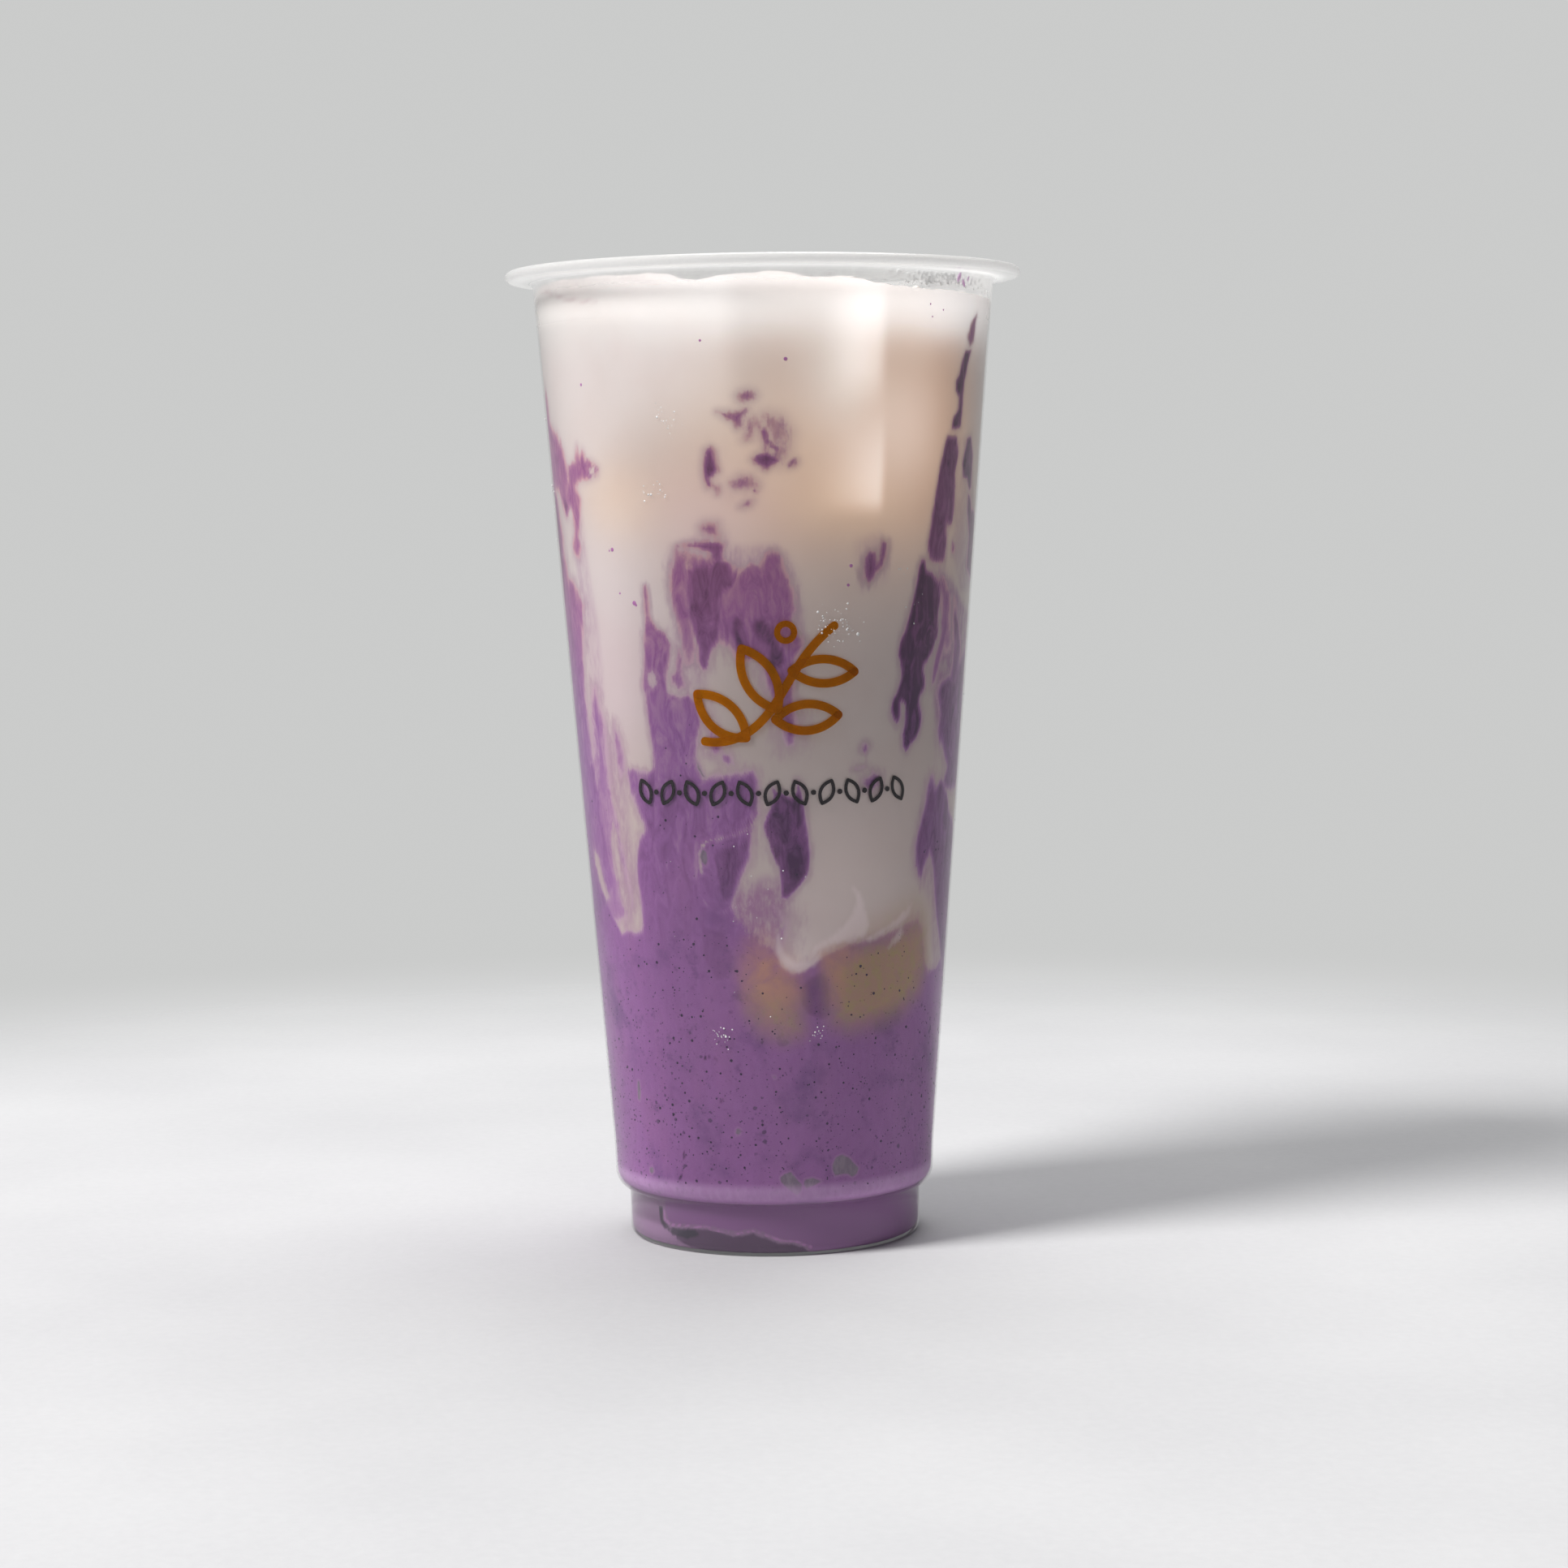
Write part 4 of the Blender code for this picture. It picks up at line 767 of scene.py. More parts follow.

        # The foot, seen through thicker plastic. The paler band at its shoulder is a painted reflection of the bright
        # floor in the shoulder, which faces down.
        painted_shoulder_light = s.math("MULTIPLY", s.step(height, 9.6, 11.0), s.step(height, 14.2, 12.4))
        colour = s.mix(s.math("MULTIPLY", painted_shoulder_light, s.step(quick, 0.3, 0.7, 0.52, 0.68)), colour, (0.72, 0.46, 0.76))
        low = s.step(height, 10.6, 9.0)
        colour = s.mix(s.math("MULTIPLY", low, 0.78), colour, (0.36, 0.25, 0.36))
        for key, tint, share in (
            ("foot_upper", (0.35, 0.168, 0.385), 0.85),
            ("foot_lower", (0.135, 0.082, 0.150), 0.88),
            ("foot_dark", (0.065, 0.058, 0.080), 0.88),
            ("foot_line", (0.56, 0.28, 0.56), 0.85),
        ):
            edge = s.step(s.math("MULTIPLY_ADD", s.math("SUBTRACT", quick, 0.5), 3.0 if key == "foot_line" else 1.6, s.value(key)), -0.5, 0.7)
            colour = s.mix(s.math("MULTIPLY", edge, share), colour, tint)

        relief = s.math("ADD", s.math("MULTIPLY", tiny, 0.4), s.math("MULTIPLY", quick, 0.6))
        # The emission is the painted glow in the milk, paler where it is strong, and none in the purple.
        finish = s.node(
            "ShaderNodeBsdfPrincipled",
            {
                "Base Color": colour,
                "Roughness": s.step(quick, 0.2, 0.8, 0.42, 0.55),
                "Specular IOR Level": 0.22,
                "Emission Color": s.mix(s.step(s.value("glow"), 0.30, 0.80, 0.0, 0.7), clean, (0.93, 0.905, 0.895)),
                "Emission Strength": s.math("MULTIPLY", s.value("glow"), s.math("MULTIPLY", s.math("SUBTRACT", 1.0, inside), s.math("SUBTRACT", 1.0, s.math("MULTIPLY", s.math("MAXIMUM", halo, veil), 0.7)))),
                "Normal": s.bump(relief, 0.05, 0.35),
            },
        )
        made.append(s.done(finish.outputs[0]))
    return made


def drink_pieces(milk_material, taro_material):
    columns = len(THETA)
    sx, sy = ring(THETA)
    edge = boundary(THETA)
    wall_top = np.interp(THETA, *zip(*WALL_TOP))
    wall_top = wall_top + 0.10 * np.sin(np.radians(23 * THETA)) + 0.06 * np.sin(np.radians(61 * THETA + 30))

    def rows_between(low, high, count, last):
        """(r, z) arrays, one row of columns for each step from low to high along the wall."""
        share = np.linspace(0, 1, count + 1)
        if not last:
            share = share[:-1]
        way = low[None, :] + (high - low)[None, :] * share[:, None]
        return np.interp(way, ALONG, SKIN[:, 0]), np.interp(way, ALONG, SKIN[:, 1])

    start = np.zeros(columns)
    split = along_at(edge)
    end = along_at(wall_top)

    def build(name, r, z, bottom_centre, top_centre, material, wall_rows):
        """Stacks the rows into one closed body, with a point at each end."""
        count = len(r)
        points = np.stack([r * sx, r * sy, z], 2).reshape(-1, 3)
        points = np.vstack([points, [(0, 0, bottom_centre), (0, 0, top_centre)]])
        i = np.arange(columns)
        j = (i + 1) % columns
        faces = []
        for row in range(count - 1):
            a, b = row * columns, (row + 1) * columns
            faces.append(np.stack([a + i, a + j, b + j, b + i], 1))
        faces = np.vstack(faces).tolist()
        base, top = count * columns, count * columns + 1
        faces += [(base, int(q), int(p)) for p, q in zip(i, j)]
        last = (count - 1) * columns
        faces += [(top, last + int(p), last + int(q)) for p, q in zip(i, j)]
        theta = np.concatenate([np.tile(THETA, count), [0, 0]])
        heights = points[:, 2].copy()
        lower, upper = wall_rows
        on_wall = np.zeros(len(points), bool)
        on_wall[lower * columns : upper * columns] = True
        fields = wall_fields(theta, heights)
        colours = milk_and_painted_light_colours(theta, heights)
        # Away from the wall only plain milk shows on top, and plain taro underneath.
        above = ~on_wall & (heights > 150)
        below = ~on_wall & (heights < 20)
        # On top the milk keeps a faint painted glow and, inward from the wall, takes a darker colour: painted shade
        # that holds back the strong light from above.
        for key, values in fields.items():
            flat = {"depth": 0.0, "olive": 0.0, "orange": 0.0, "glow": 0.0, "veil": 0.0}.get(key, -6.0)
            values[above] = 0.03 if key == "glow" else flat
            values[below] = {"cover": 6.0, "depth": 0.55}.get(key, flat)
        inward = np.clip((outer_r(heights[above]) - np.hypot(points[above, 0], points[above, 1])) / 3.2, 0, 1)[:, None]
        colours[above] = colours[above] * (1 - inward) + lin(206, 198, 193) * inward
        obj = mesh_of(name, points, faces, material, floats=fields, colours={"milk_col": colours})
        obj.data.set_sharp_from_angle(angle=math.radians(16))
        return obj

    # Taro: floor, wall up to the boundary, then the dip of the interface.
    floor_r = np.linspace(0, 20.6, 8)[1:]
    rr, zz = [np.tile(v, (columns, 1)).T for v in (floor_r, np.full(len(floor_r), 1.35))]
    wall_r, wall_z = rows_between(start, split, TARO_ROWS, True)
    share = np.linspace(1, 0, 12)[1:-1]
    dip_r = share[:, None] * wall_r[-1][None, :]
    dip_z = INTERFACE_CENTRE + (edge - INTERFACE_CENTRE)[None, :] * share[:, None] ** 3
    taro = build(
        "taro_layer_skin",
        np.vstack([rr, wall_r, dip_r]),
        np.vstack([zz, wall_z, dip_z]),
        1.35,
        INTERFACE_CENTRE,
        taro_material,
        (len(rr), len(rr) + len(wall_r)),
    )

    # Milk: the interface from the middle out, the wall, then the surface with its hollows.
    wall_r, wall_z = rows_between(split, end, MILK_ROWS, True)
    dip_r, dip_z = dip_r[::-1], dip_z[::-1] + 0.05
    share = np.concatenate([1 - np.array([0.004, 0.012, 0.024, 0.04]), np.linspace(0.94, 0.03, 40)])
    top_r = share[:, None] * wall_r[-1][None, :]
    px, py = top_r * sx, top_r * sy
    away = wall_r[-1][None, :] - top_r
    climb = np.exp(-((away / 1.3) ** 2))
    wide = np.exp(-((away / 4.5) ** 2))
    level = top_height(px, py)
    raised = np.maximum(wall_z[-1][None, :] - SURFACE, 0)
    top_z = level + (wall_z[-1][None, :] - level) * climb + raised * 0.45 * wide * (1 - climb)
    milk = build(
        "milk_layer_skin",
        np.vstack([dip_r, wall_r, top_r]),
        np.vstack([dip_z, wall_z, top_z]),
        INTERFACE_CENTRE + 0.05,
        float(top_height(np.array([0.0]), np.array([0.0]))[0]),
        milk_material,
        (len(dip_r), len(dip_r) + len(wall_r)),
    )
    place(taro, ("taro_layer",))
    place(milk, ("milk_layer",))
    return taro, milk


# ---------------------------------------------------------------- ice
def ice_material():
    """Melting ice: clear with a cloudy heart, fine cracks and a wet skin."""
    s = Shader("ice")
    where = s.spot()
    cloud = s.noise(where, 0.16, 4.0, 0.6, 0.5)
    crack = s.cells(where, 0.16, "DISTANCE_TO_EDGE").outputs["Distance"]
    line = s.step(crack, 0.05, 0.0)
    milkiness = s.math("ADD", s.step(cloud, 0.32, 0.70, 0.45, 0.82), s.math("MULTIPLY", line, 0.22), clamp=True)
    bump = s.bump(s.math("ADD", s.noise(where, 0.35, 3.0, 0.5), s.math("MULTIPLY", line, 0.25)), 0.5, 0.5)
    clear = s.node("ShaderNodeBsdfTransparent", {"Color": (0.97, 0.98, 0.985)})
    white = s.node("ShaderNodeBsdfDiffuse", {"Color": (0.66, 0.665, 0.675), "Normal": bump})
    through = s.node("ShaderNodeBsdfTranslucent", {"Color": (0.74, 0.745, 0.75)})
    gloss = s.node("ShaderNodeBsdfGlossy", {"Color": (1, 1, 1), "Roughness": 0.08, "Normal": bump})
    soft = s.node("ShaderNodeMixShader", {0: 0.4, 1: white.outputs[0], 2: through.outputs[0]})
    body = s.node("ShaderNodeMixShader", {0: milkiness, 1: clear.outputs[0], 2: soft.outputs[0]})
    fresnel = s.node("ShaderNodeFresnel", {"IOR": 1.45, "Normal": bump})
    return s.done(s.node("ShaderNodeMixShader", {0: fresnel.outputs[0], 1: body.outputs[0], 2: gloss.outputs[0]}).outputs[0])


def ice_cube(name, x, y, side, top, turn, material):
    """A melted cube: a rounded box on a fine grid, worn by low waves, its highest point at top."""
    n = 22
    points, faces, index = [], [], {}
    line = np.linspace(-1, 1, n + 1)

    def corner(p):
        key = tuple(np.round(p, 5))
        if key not in index:
            index[key] = len(points)
            points.append(np.array(p, float))
        return index[key]

    for axis in range(3):
        for sign in (-1, 1):
            for i in range(n):
                for j in range(n):
                    quad = []
                    for di, dj in ((0, 0), (1, 0), (1, 1), (0, 1)):
                        p = [0.0, 0.0, 0.0]
                        p[axis] = float(sign)
                        p[(axis + 1) % 3] = line[i + di]
                        p[(axis + 2) % 3] = line[j + dj]
                        quad.append(corner(p))
                    faces.append(quad if sign > 0 else quad[::-1])
    cube = np.array(points)
    half, rounding = side / 2, 3.6
    body = np.clip(cube * half, -(half - rounding), half - rounding)
    rest = cube * half - body
    length = np.linalg.norm(rest, axis=1)
    made = body + rest / np.maximum(length, 1e-9)[:, None] * np.minimum(length, rounding)[:, None]
    u = made / half
    melt = 0.45 * np.sin(2.3 * u[:, 0] + 1.1 * u[:, 2]) + 0.4 * np.sin(1.9 * u[:, 1] - 1.4 * u[:, 0] + 0.5)
    dimple = -0.9 * np.exp(-((u[:, 0] ** 2 + u[:, 1] ** 2) / 0.25)) * (u[:, 2] > 0.5)
    made = made * (1 + (melt - 0.9)[:, None] / side * 0.6)
    made[:, 2] += dimple
    spin = np.array(Euler([math.radians(t) for t in turn]).to_matrix())
    made = made @ spin.T
    made[:, 2] += top - made[:, 2].max()
    made[:, 0] += x
    made[:, 1] += y
    # It melts back from the wall rather than touching it.
    radius = np.hypot(made[:, 0], made[:, 1])
    limit = outer_r(np.clip(made[:, 2], 17, 176)) - WALL - 0.35
    keep = np.minimum(1, limit / np.maximum(radius, 1e-6))
    made[:, :2] *= keep[:, None]
    return place(mesh_of(name + "_melted", made, faces, material), (name,))


# ---------------------------------------------------------------- small things
def ball_mesh(centres, radii, squash, normals, rings=5, around=8):
    """Many small domes or balls as one set of points and faces. squash flattens each along its normal."""
    points, faces = [], []
    for c, r, k, n in zip(centres, radii, squash, normals):
        n = Vector(n).normalized()
        side = n.cross(Vector((0.3, 0.5, 1.0))).normalized()
        other = n.cross(side)
        c = Vector(c)
        base = len(points)
        points.append(tuple(c + n * r * k))
        for i in range(1, rings):
            a = math.pi * i / rings
            for j in range(around):
                b = 2 * math.pi * j / around
                points.append(tuple(c + n * (r * k * math.cos(a)) + (side * math.cos(b) + other * math.sin(b)) * (r * math.sin(a))))
        points.append(tuple(c - n * r * k))
        last = len(points) - 1
        for j in range(around):
            q = (j + 1) % around
            faces.append((base, base + 1 + j, base + 1 + q))
            for i in range(rings - 2):
                a, b = base + 1 + i * around, base + 1 + (i + 1) * around
                faces.append((a + j, b + j, b + q, a + q))
            a = base + 1 + (rings - 2) * around
            faces.append((a + j, last, a + q))
    return points, faces


def bubble_material():
    s = Shader("foam_bubbles")
    where = s.spot()
    tone = s.noise(where, 0.5, 2.0, 0.5)
    colour = s.ramp(tone, ((0.3, lin(236, 226, 220)), (0.7, lin(250, 247, 244))))
    skin = s.node("ShaderNodeBsdfPrincipled", {"Base Color": colour, "Roughness": 0.18, "Specular IOR Level": 0.5, "Normal": s.bump(tone, 0.1, 0.2)})
    clear = s.node("ShaderNodeBsdfTransparent", {"Color": (0.98, 0.98, 0.98)})
    return s.done(s.node("ShaderNodeMixShader", {0: 0.62, 1: clear.outputs[0], 2: skin.outputs[0]}).outputs[0])


def water_material():
    s = Shader("water_drops")
    where = s.spot()
    tone = s.noise(where, 0.8, 2.0, 0.5)
    bump = s.bump(tone, 0.05, 0.3)
    clear = s.node("ShaderNodeBsdfTransparent", {"Color": (0.93, 0.93, 0.93)})
    white = s.node("ShaderNodeBsdfDiffuse", {"Color": (0.93, 0.93, 0.93), "Normal": bump})
    gloss = s.node("ShaderNodeBsdfGlossy", {"Color": (1, 1, 1), "Roughness": 0.05, "Normal": bump})
    body = s.node("ShaderNodeMixShader", {0: s.step(tone, 0.3, 0.7, 0.62, 0.92), 1: clear.outputs[0], 2: white.outputs[0]})
    fresnel = s.node("ShaderNodeFresnel", {"IOR": 1.4})
    return s.done(s.node("ShaderNodeMixShader", {0: fresnel.outputs[0], 1: body.outputs[0], 2: gloss.outputs[0]}).outputs[0])


def grain_material():
    s = Shader("dark_grains")
    where = s.spot()
    tone = s.noise(where, 0.7, 2.0, 0.5)
    colour = s.ramp(tone, ((0.3, (0.040, 0.022, 0.060)), (0.7, (0.085, 0.042, 0.115))))
    return s.done(s.node("ShaderNodeBsdfPrincipled", {"Base Color": colour, "Roughness": 0.6, "Specular IOR Level": 0.2, "Normal": s.bump(tone, 0.05, 0.4)}).outputs[0])


def drip_material():
    s = Shader("purple_drips")
    where = s.spot()
    tone = s.noise(where, 0.9, 3.0, 0.5)
    colour = s.ramp(tone, ((0.3, (0.50, 0.17, 0.48)), (0.7, (0.66, 0.27, 0.64))))
    return s.done(s.node("ShaderNodeBsdfPrincipled", {"Base Color": colour, "Roughness": 0.4, "Specular IOR Level": 0.3, "Normal": s.bump(tone, 0.05, 0.4)}).outputs[0])


def small_things():
    rng = np.random.default_rng(23)
    # Foam bubbles in a ragged ring at the wall and beside the ice.
    centres, radii, squash, normals = [], [], [], []
    for _ in range(620):
        theta = rng.uniform(-180, 180)
        r = outer_r(SURFACE) - WALL - 0.5 - abs(rng.normal(0, 1.6))
        size = min(0.16 + rng.exponential(0.20), 0.95)
        level = np.interp(theta, *zip(*WALL_TOP))
        near = math.exp(-(((outer_r(SURFACE) - WALL - r) / 1.6) ** 2))
        x, y = r * math.sin(math.radians(theta)), -r * math.cos(math.radians(theta))
        z = float(top_height(np.array([x]), np.array([y]))[0])
        z = z + (level - z) * near
        if r + size > outer_r(z) - WALL - 0.15:
            r = outer_r(z) - WALL - 0.15 - size
            x, y = r * math.sin(math.radians(theta)), -r * math.cos(math.radians(theta))
        centres.append((x, y, z + size * 0.1))
        radii.append(size)
        squash.append(0.8)
        normals.append((0, 0, 1))
    for _ in range(380):
        a, r = rng.uniform(0, 2 * math.pi), 38 * math.sqrt(rng.uniform(0, 1))
        x, y = r * math.cos(a), r * math.sin(a)
        size = min(0.14 + rng.exponential(0.16), 0.8)
        z = float(top_height(np.array([x]), np.array([y]))[0])
        if z < SURFACE - 0.8:
            continue
        centres.append((x, y, z + size * 0.1))
        radii.append(size)
        squash.append(0.8)
        normals.append((0, 0, 1))
    points, faces = ball_mesh(centres, radii, squash, normals)
    place(mesh_of("foam_bubbles", points, faces, bubble_material()))

    # Fine drops: sparkles outside on the wall, mist inside above the drink.
    centres, radii, squash, normals = [], [], [], []

    def drop(theta, z, size, inside):
        r = outer_r(z) - (WALL + size * 0.15 if inside else -size * 0.1)
        a = math.radians(theta)
        n = (math.sin(a), -math.cos(a), 0.0)
        if inside:
            n = (-n[0], -n[1], 0.0)
        centres.append((r * math.sin(a), -r * math.cos(a), z))
        radii.append(size)
        squash.append(0.42)
        normals.append(n)

    for theta, z, wide, high, count in (
        (19, 114.0, 5.0, 3.6, 70), (-17, 41.0, 2.0, 1.8, 22), (15, 41.5, 1.6, 1.4, 16), (-25, 151.0, 2.2, 3.2, 22),
        (-30, 138.0, 2.8, 2.0, 18), (40, 120.0, 6.0, 8.0, 14), (-8, 66.0, 14.0, 20.0, 16), (150, 120.0, 20.0, 22.0, 60),
        (-130, 95.0, 20.0, 22.0, 60), (100, 100.0, 16.0, 20.0, 40), (-90, 140.0, 12.0, 14.0, 34),
    ):
        for _ in range(count):
            drop(theta + rng.normal(0, wide / ROUND_MM / 2), z + rng.normal(0, high / 2), 0.07 + rng.exponential(0.05), False)
    for _ in range(240):
        drop(rng.uniform(-180, 180), rng.uniform(173.6, 176.2), min(0.10 + rng.exponential(0.10), 0.4), True)
    for _ in range(170):
        drop(rng.normal(50, 7), rng.uniform(174.4, 176.5), min(0.12 + rng.exponential(0.14), 0.5), True)
    points, faces = ball_mesh(centres, radii, squash, normals)
    place(mesh_of("water_drops", points, faces, water_material()))

    # Dark grains of taro skin lying in the purple, level with the drink's skin.
    centres, radii, squash, normals = [], [], [], []
    thetas, heights = [], []
    while len(thetas) < 3000:
        t, h = rng.uniform(-180, 180), 12.5 + abs(rng.normal(0, 38))
        if h < 110:
            thetas.append(t)
            heights.append(h)
    fields = wall_fields(np.array(thetas), np.array(heights))
    for t, h, cover, pocket in zip(thetas, heights, fields["cover"], fields["pocket"]):
        if cover < 1.6 or pocket > -2:
            continue
        size = min(0.07 + rng.exponential(0.06), 0.30)
        a = math.radians(t)
        r = float(np.interp(h, SKIN[:, 1], SKIN[:, 0])) + 0.02
        centres.append((r * math.sin(a), -r * math.cos(a), h))
        radii.append(size)
        squash.append(0.16)
        normals.append((math.sin(a) + rng.normal(0, 0.08), -math.cos(a) + rng.normal(0, 0.08), rng.normal(0, 0.08)))
    points, faces = ball_mesh(centres, radii, squash, normals, rings=4, around=6)
    place(mesh_of("dark_grains", points, faces, grain_material()))

    # Purple drips that ran down inside the wall above the drink, and a few stray dots.
    centres, radii, squash, normals = [], [], [], []
    for t0, z0, t1, z1, wide in ((58.4, 176.6, 57.3, 175.3, 0.5), (59.7, 175.5, 60.8, 174.5, 0.45), (63.2, 176.2, 62.5, 175.5, 0.3)):
        for k in np.linspace(0, 1, 9):
            t, z = t0 + (t1 - t0) * k, z0 + (z1 - z0) * k
            a = math.radians(t)
            r = outer_r(z) - WALL - 0.02
            centres.append((r * math.sin(a), -r * math.cos(a), z))
            radii.append(wide * (0.55 + 0.45 * math.sin(math.pi * k)))
            squash.append(0.35)
            normals.append((-math.sin(a), math.cos(a), 0))
    for t, z, size in ((-45.8, 128.2, 0.40), (-38.9, 118.7, 0.44), (-38.3, 118.3, 0.26), (23.0, 124.9, 0.34), (22.3, 121.5, 0.30), (-53.5, 157.6, 0.30), (-15.6, 164.4, 0.24), (5.3, 161.0, 0.36), (45.3, 170.8, 0.20), (46.2, 168.6, 0.18), (50.3, 169.9, 0.20), (-44.0, 120.4, 0.22), (-47.0, 128.0, 0.2)):
        a = math.radians(t)
        r = float(np.interp(z, SKIN[:, 1], SKIN[:, 0]))
        centres.append((r * math.sin(a), -r * math.cos(a), z))
        radii.append(size)
        squash.append(0.18)
        normals.append((math.sin(a), -math.cos(a), 0))
    points, faces = ball_mesh(centres, radii, squash, normals, rings=6, around=10)
    place(mesh_of("purple_drips", points, faces, drip_material()))


# ---------------------------------------------------------------- the print
def bend(*points, steps=26):
    """A smooth line through a Bezier's control points."""
    t = np.linspace(0, 1, steps)[:, None]
    p = [np.array(q, float) for q in points]
    while len(p) > 1:
        p = [a * (1 - t) + b * t for a, b in zip(p, p[1:])]
    return p[0]


def ribbon(points, faces, line, wide, proud, taper=0.0):
    """Adds a thin printed stroke with round ends, wrapped onto the cone. line is in mm across and up, from the front."""
    line = np.array(line, float)
    way = np.gradient(line, axis=0)
    way /= np.maximum(np.linalg.norm(way, axis=1), 1e-9)[:, None]
    side = np.stack([-way[:, 1], way[:, 0]], 1)
    n = len(line)
    share = np.linspace(0, 1, n)
    half = wide / 2 * (1 - taper * share)
    left = [line[i] + side[i] * half[i] for i in range(n)]
    right = [line[i] - side[i] * half[i] for i in range(n)]
    end = [line[-1] + (way[-1] * math.sin(a) + side[-1] * math.cos(a)) * half[-1] for a in np.linspace(0, math.pi, 9)[1:-1]]
    start = [line[0] + (-way[0] * math.sin(a) - side[0] * math.cos(a)) * half[0] for a in np.linspace(0, math.pi, 9)[1:-1]]
    for out in (proud, -0.02):
        base = len(points)
        for u, z in left + right + end + start:
            points.append(wall_point(u / ROUND_MM * (36.0 / outer_r(z)), z, out))
        lift = 1 if out > 0 else -1

        def add(*f):
            faces.append(tuple(base + i for i in (f if lift > 0 else f[::-1])))

        for i in range(n - 1):
            add(i, n + i, n + i + 1, i + 1)
        cap = list(range(2 * n, 2 * n + 7))
        add(n - 1, 2 * n - 1, *cap[::-1])
        cap = list(range(2 * n + 7, 2 * n + 14))
        add(n, 0, *cap[::-1])
        if out > 0:
            upper = base
        else:
            total = len(left) * 2 + 14
            outline = list(range(n)) + cap_order(n) + list(range(2 * n - 1, n - 1, -1)) + list(range(2 * n + 7, 2 * n + 14))
            for a, b in zip(outline, outline[1:] + outline[:1]):
                faces.append((upper + b, upper + a, base + a, base + b))


def cap_order(n):
    return list(range(2 * n, 2 * n + 7))


def ink_material(name, colour, spread, tint, solid):
    """Screen-printed ink, thin enough that what lies under it still shows a little."""
    s = Shader(name)
    where = s.spot()
    tone = s.noise(where, 0.6, 3.0, 0.6)
    fine = s.noise(where, 5.0, 2.0, 0.5)
    colour = np.array(colour)
    shade = s.ramp(tone, ((0.3, colour * (1 - spread)), (0.7, colour * (1 + spread))))
    ink = s.node("ShaderNodeBsdfPrincipled", {"Base Color": shade, "Roughness": s.step(fine, 0.3, 0.7, 0.30, 0.42), "Specular IOR Level": 0.35, "Normal": s.bump(fine, 0.02, 0.3)})
    tint = s.node("ShaderNodeBsdfTransparent", {"Color": tint})
    return s.done(s.node("ShaderNodeMixShader", {0: s.step(fine, 0.2, 0.8, solid - 0.05, solid + 0.05), 1: tint.outputs[0], 2: ink.outputs[0]}).outputs[0])


def leaf(points, faces, foot, tip, bulge, wide, proud):
    """A leaf as an outline of two bends from foot to tip."""
    foot, tip = np.array(foot, float), np.array(tip, float)
    along = tip - foot
    across = np.array([-along[1], along[0]])
    one = bend(foot, foot + 0.30 * along + bulge * across, foot + 0.72 * along + bulge * 0.9 * across, tip)
    two = bend(foot, foot + 0.30 * along - bulge * across, foot + 0.72 * along - bulge * 0.9 * across, tip)
    ribbon(points, faces, one, wide, proud)
    ribbon(points, faces, two, wide, proud + 0.006)


def the_print():
    points, faces = [], []
    wide = 1.55
    # A curling stem with leaves to each side.
    stem = bend((-11.5, 94.2), (-4.5, 93.0), (1.0, 97.5), (2.6, 103.0), (5.0, 109.5), (12.0, 114.4), steps=44)
    ribbon(points, faces, stem, wide, 0.050)
    leaf(points, faces, (-4.0, 94.8), (-12.8, 102.6), 0.30, wide, 0.062)
    leaf(points, faces, (1.6, 99.8), (-4.6, 110.6), 0.29, wide, 0.074)
    leaf(points, faces, (1.2, 98.0), (12.6, 98.6), 0.29, wide, 0.062)
    leaf(points, faces, (4.2, 106.6), (15.8, 106.2), 0.26, wide, 0.074)
    around = np.linspace(0, 2 * math.pi, 30)
    ribbon(points, faces, np.stack([3.2 + 1.5 * np.cos(around), 113.4 + 1.5 * np.sin(around)], 1), 1.1, 0.056)
    orange = ink_material("print_orange", (0.47, 0.178, 0.003), 0.14, (0.90, 0.56, 0.07), 0.30)
    place(mesh_of("print_sprig", points, faces, orange, smooth_faces=False))
    points, faces = [], []
    # A row of little leaves under it, leaning one way and the other, with beads between.
    for k in range(11):
        u, z = -24.0 + 4.9 * k, 84.9
        lean = 1.0 if k % 2 else -1.0
        foot, tip = np.array((u - 0.9 * lean, z - 2.0)), np.array((u + 0.9 * lean, z + 2.0))
        along, across = tip - foot, np.array((-(tip - foot)[1], (tip - foot)[0]))
        for side, proud in ((0.36, 0.050), (-0.36, 0.056)):
            ribbon(points, faces, bend(foot, foot + 0.3 * along + side * across, foot + 0.7 * along + side * across, tip, steps=14), 0.62, proud)
        if k < 10:
            ribbon(points, faces, [(u + 2.43, z), (u + 2.45, z), (u + 2.47, z)], 0.95, 0.05)
    dark = ink_material("print_dark", (0.030, 0.026, 0.030), 0.15, (0.45, 0.42, 0.45), 0.72)
    place(mesh_of("print_row", points, faces, dark, smooth_faces=False))


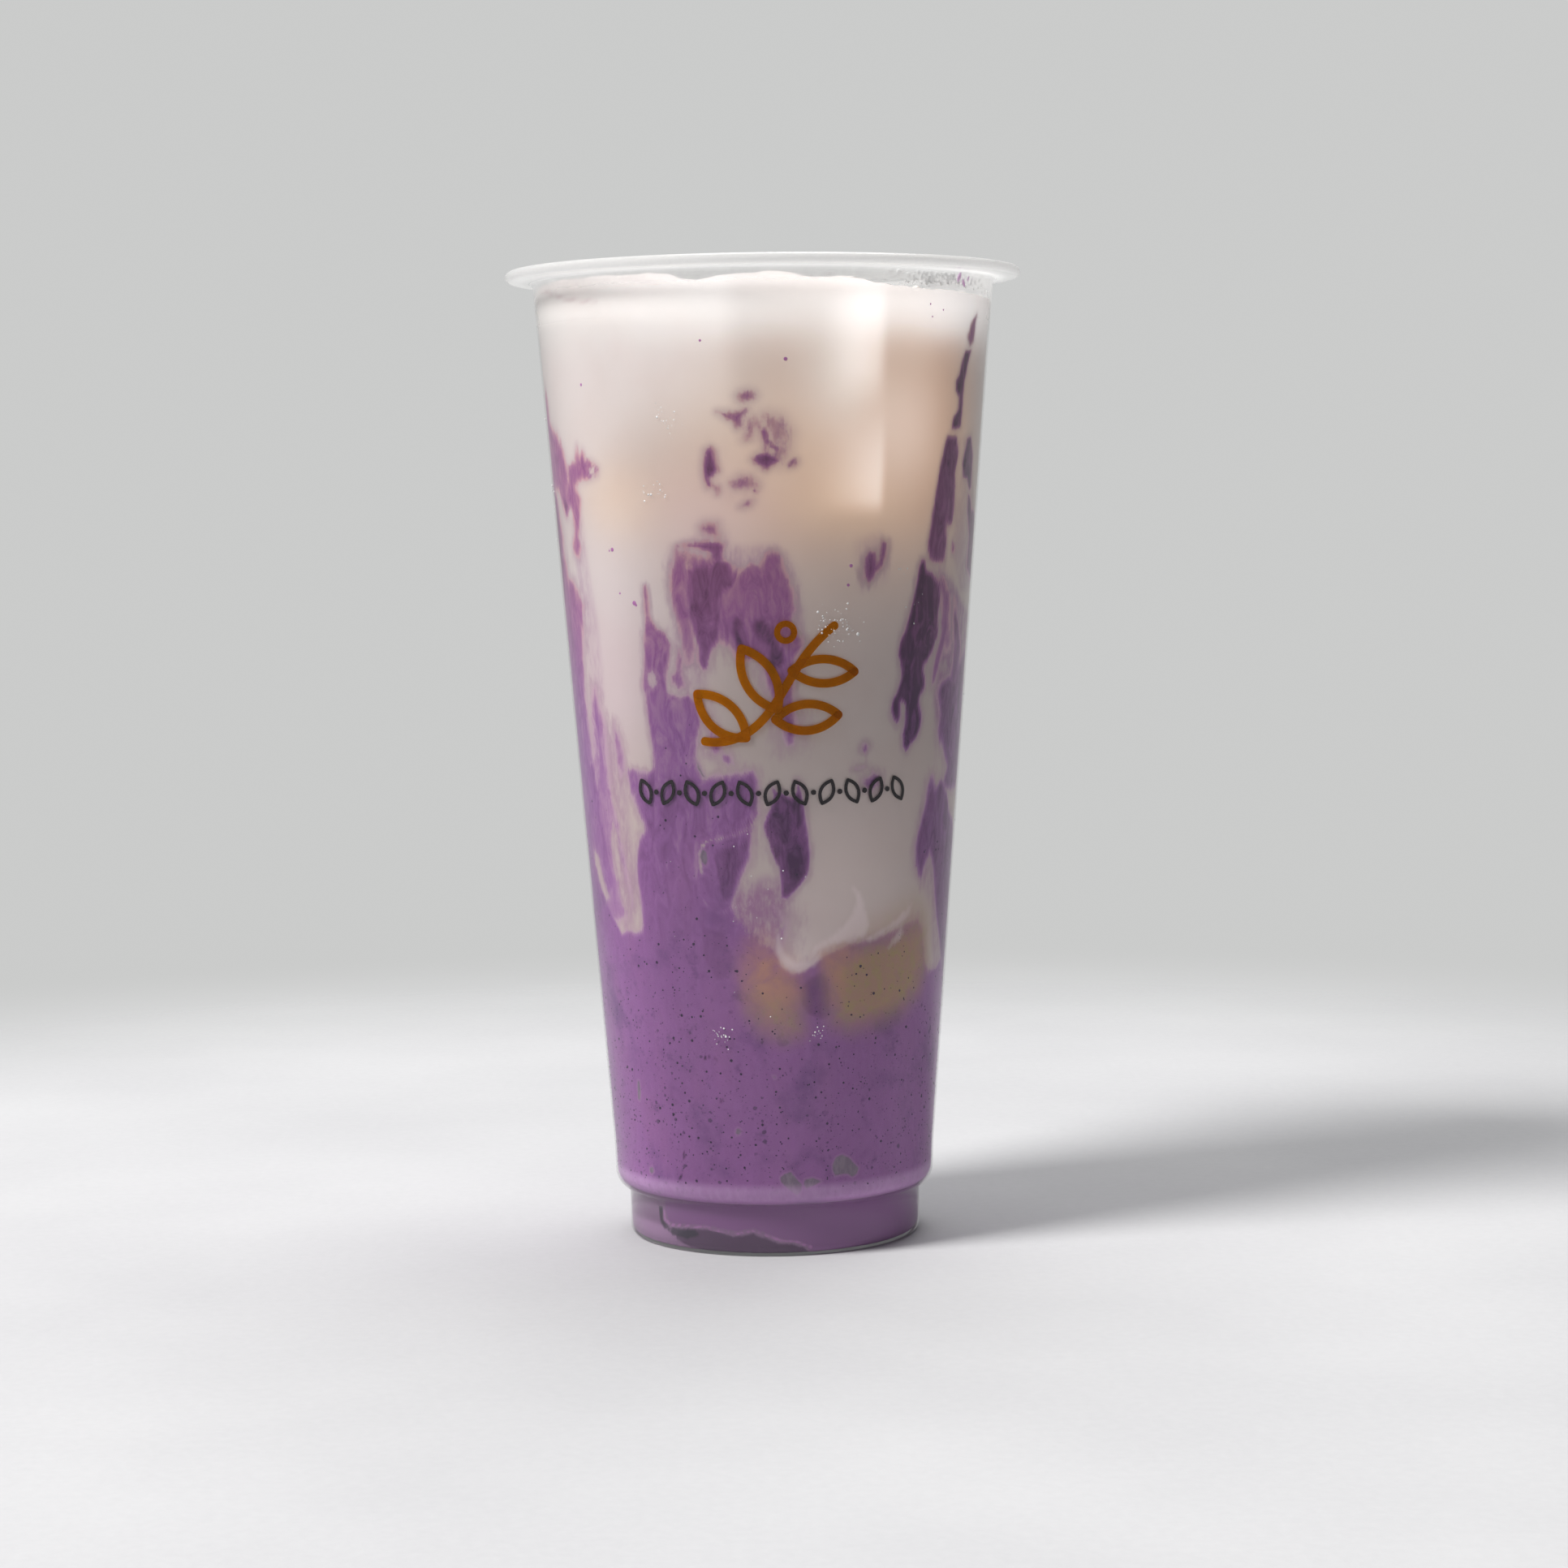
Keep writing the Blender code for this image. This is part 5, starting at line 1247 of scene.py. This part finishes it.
# ---------------------------------------------------------------- floor, lights, camera
def studio():
    s = Shader("studio_floor")
    where = s.spot()
    split = s.node("ShaderNodeSeparateXYZ", {"Vector": where})
    x, y = split.outputs[0], split.outputs[1]
    radius = s.math("SQRT", s.math("ADD", s.math("MULTIPLY", x, x), s.math("MULTIPLY", y, y)))
    slow = s.noise(where, 0.012, 3.0, 0.5)
    fine = s.noise(where, 0.5, 3.0, 0.6)
    colour = s.ramp(s.math("ADD", s.math("MULTIPLY", slow, 0.7), s.math("MULTIPLY", fine, 0.3)), ((0.3, (0.50, 0.50, 0.513)), (0.7, (0.565, 0.565, 0.575))))
    matte = s.node("ShaderNodeBsdfPrincipled", {"Base Color": colour, "Roughness": 0.85, "Specular IOR Level": 0.15, "Normal": s.bump(fine, 0.12, 0.35)})
    gone = s.node("ShaderNodeBsdfTransparent", {"Color": (1, 1, 1)})
    fade = s.step(radius, 205.0, 440.0)
    floor_material = s.done(s.node("ShaderNodeMixShader", {0: fade, 1: matte.outputs[0], 2: gone.outputs[0]}).outputs[0])
    around = np.linspace(0, 2 * math.pi, 96, endpoint=False)
    points = [(460 * math.cos(a), 460 * math.sin(a), 0.0) for a in around]
    floor = mesh_of("studio_floor", points, [list(range(96))], floor_material, smooth_faces=False)
    for name, where, aim, size, power, colour in (
        ("key", (-1960, -1131, 2262), (0, 0, 80), 1050, 130.0, (1.0, 0.99, 0.975)),
        ("fill", (500, -1000, 500), (0, 0, 90), 900, 0.3, (0.96, 0.98, 1.0)),
        ("top", (150, 450, 1500), (0, 0, 120), 1100, 15.0, (1.0, 1.0, 1.0)),
    ):
        lamp = bpy.data.lights.new(name, "AREA")
        lamp.shape = "DISK"
        lamp.size = size * MM
        lamp.energy = power
        lamp.color = colour
        obj = bpy.data.objects.new(name, lamp)
        bpy.context.scene.collection.objects.link(obj)
        start = Vector(where) * MM
        obj.location = start
        obj.rotation_euler = (Vector(aim) * MM - start).to_track_quat("-Z", "Y").to_euler()
        obj.visible_glossy = name != "key"
        obj.visible_camera = False
    world = bpy.data.worlds.new("studio")
    bpy.context.scene.world = world
    world.use_nodes = True
    tree = world.node_tree
    tree.nodes.clear()
    out = tree.nodes.new("ShaderNodeOutputWorld")
    seen = tree.nodes.new("ShaderNodeBackground")
    seen.inputs["Color"].default_value = (0.595, 0.60, 0.595, 1)
    lit = tree.nodes.new("ShaderNodeBackground")
    lit.inputs["Color"].default_value = (0.97, 0.985, 1.0, 1)
    lit.inputs["Strength"].default_value = 0.155
    path = tree.nodes.new("ShaderNodeLightPath")
    mix = tree.nodes.new("ShaderNodeMixShader")
    either = tree.nodes.new("ShaderNodeMath")
    either.operation = "MAXIMUM"
    tree.links.new(path.outputs["Is Camera Ray"], either.inputs[0])
    tree.links.new(path.outputs["Is Glossy Ray"], either.inputs[1])
    tree.links.new(either.outputs[0], mix.inputs[0])
    tree.links.new(lit.outputs[0], mix.inputs[1])
    tree.links.new(seen.outputs[0], mix.inputs[2])
    tree.links.new(mix.outputs[0], out.inputs["Surface"])
    bpy.context.scene.view_settings.view_transform = "Standard"


def camera():
    pitch, yaw, roll = math.radians(4.3912), math.radians(0.2393), math.radians(-0.7481)
    right = Vector((math.cos(yaw), -math.sin(yaw), 0))
    ahead = Vector((math.cos(pitch) * math.sin(yaw), math.cos(pitch) * math.cos(yaw), -math.sin(pitch)))
    up = Vector((math.sin(pitch) * math.sin(yaw), math.sin(pitch) * math.cos(yaw), math.cos(pitch)))
    across = right * math.cos(roll) + up * math.sin(roll)
    upward = up * math.cos(roll) - right * math.sin(roll)
    data = bpy.data.cameras.new("photo_camera")
    data.lens = 80.2575
    data.sensor_width = 36.0
    data.sensor_fit = "HORIZONTAL"
    data.clip_start = 0.01
    obj = bpy.data.objects.new("photo_camera", data)
    bpy.context.scene.collection.objects.link(obj)
    turn = Matrix((across, upward, -ahead)).transposed().to_4x4()
    obj.matrix_world = Matrix.Translation(Vector((0, -651.54, 133.85)) * MM) @ turn
    bpy.context.scene.camera = obj


cup = revolve("cup_clear", cup_profile(), 216, cup_material())
place(cup, ("cup",))
milk_look, taro_look = drink_materials()
drink_pieces(milk_look, taro_look)
ice_look = ice_material()
for cube in ICE:
    ice_cube(*cube, ice_look)
small_things()
the_print()
studio()
camera()
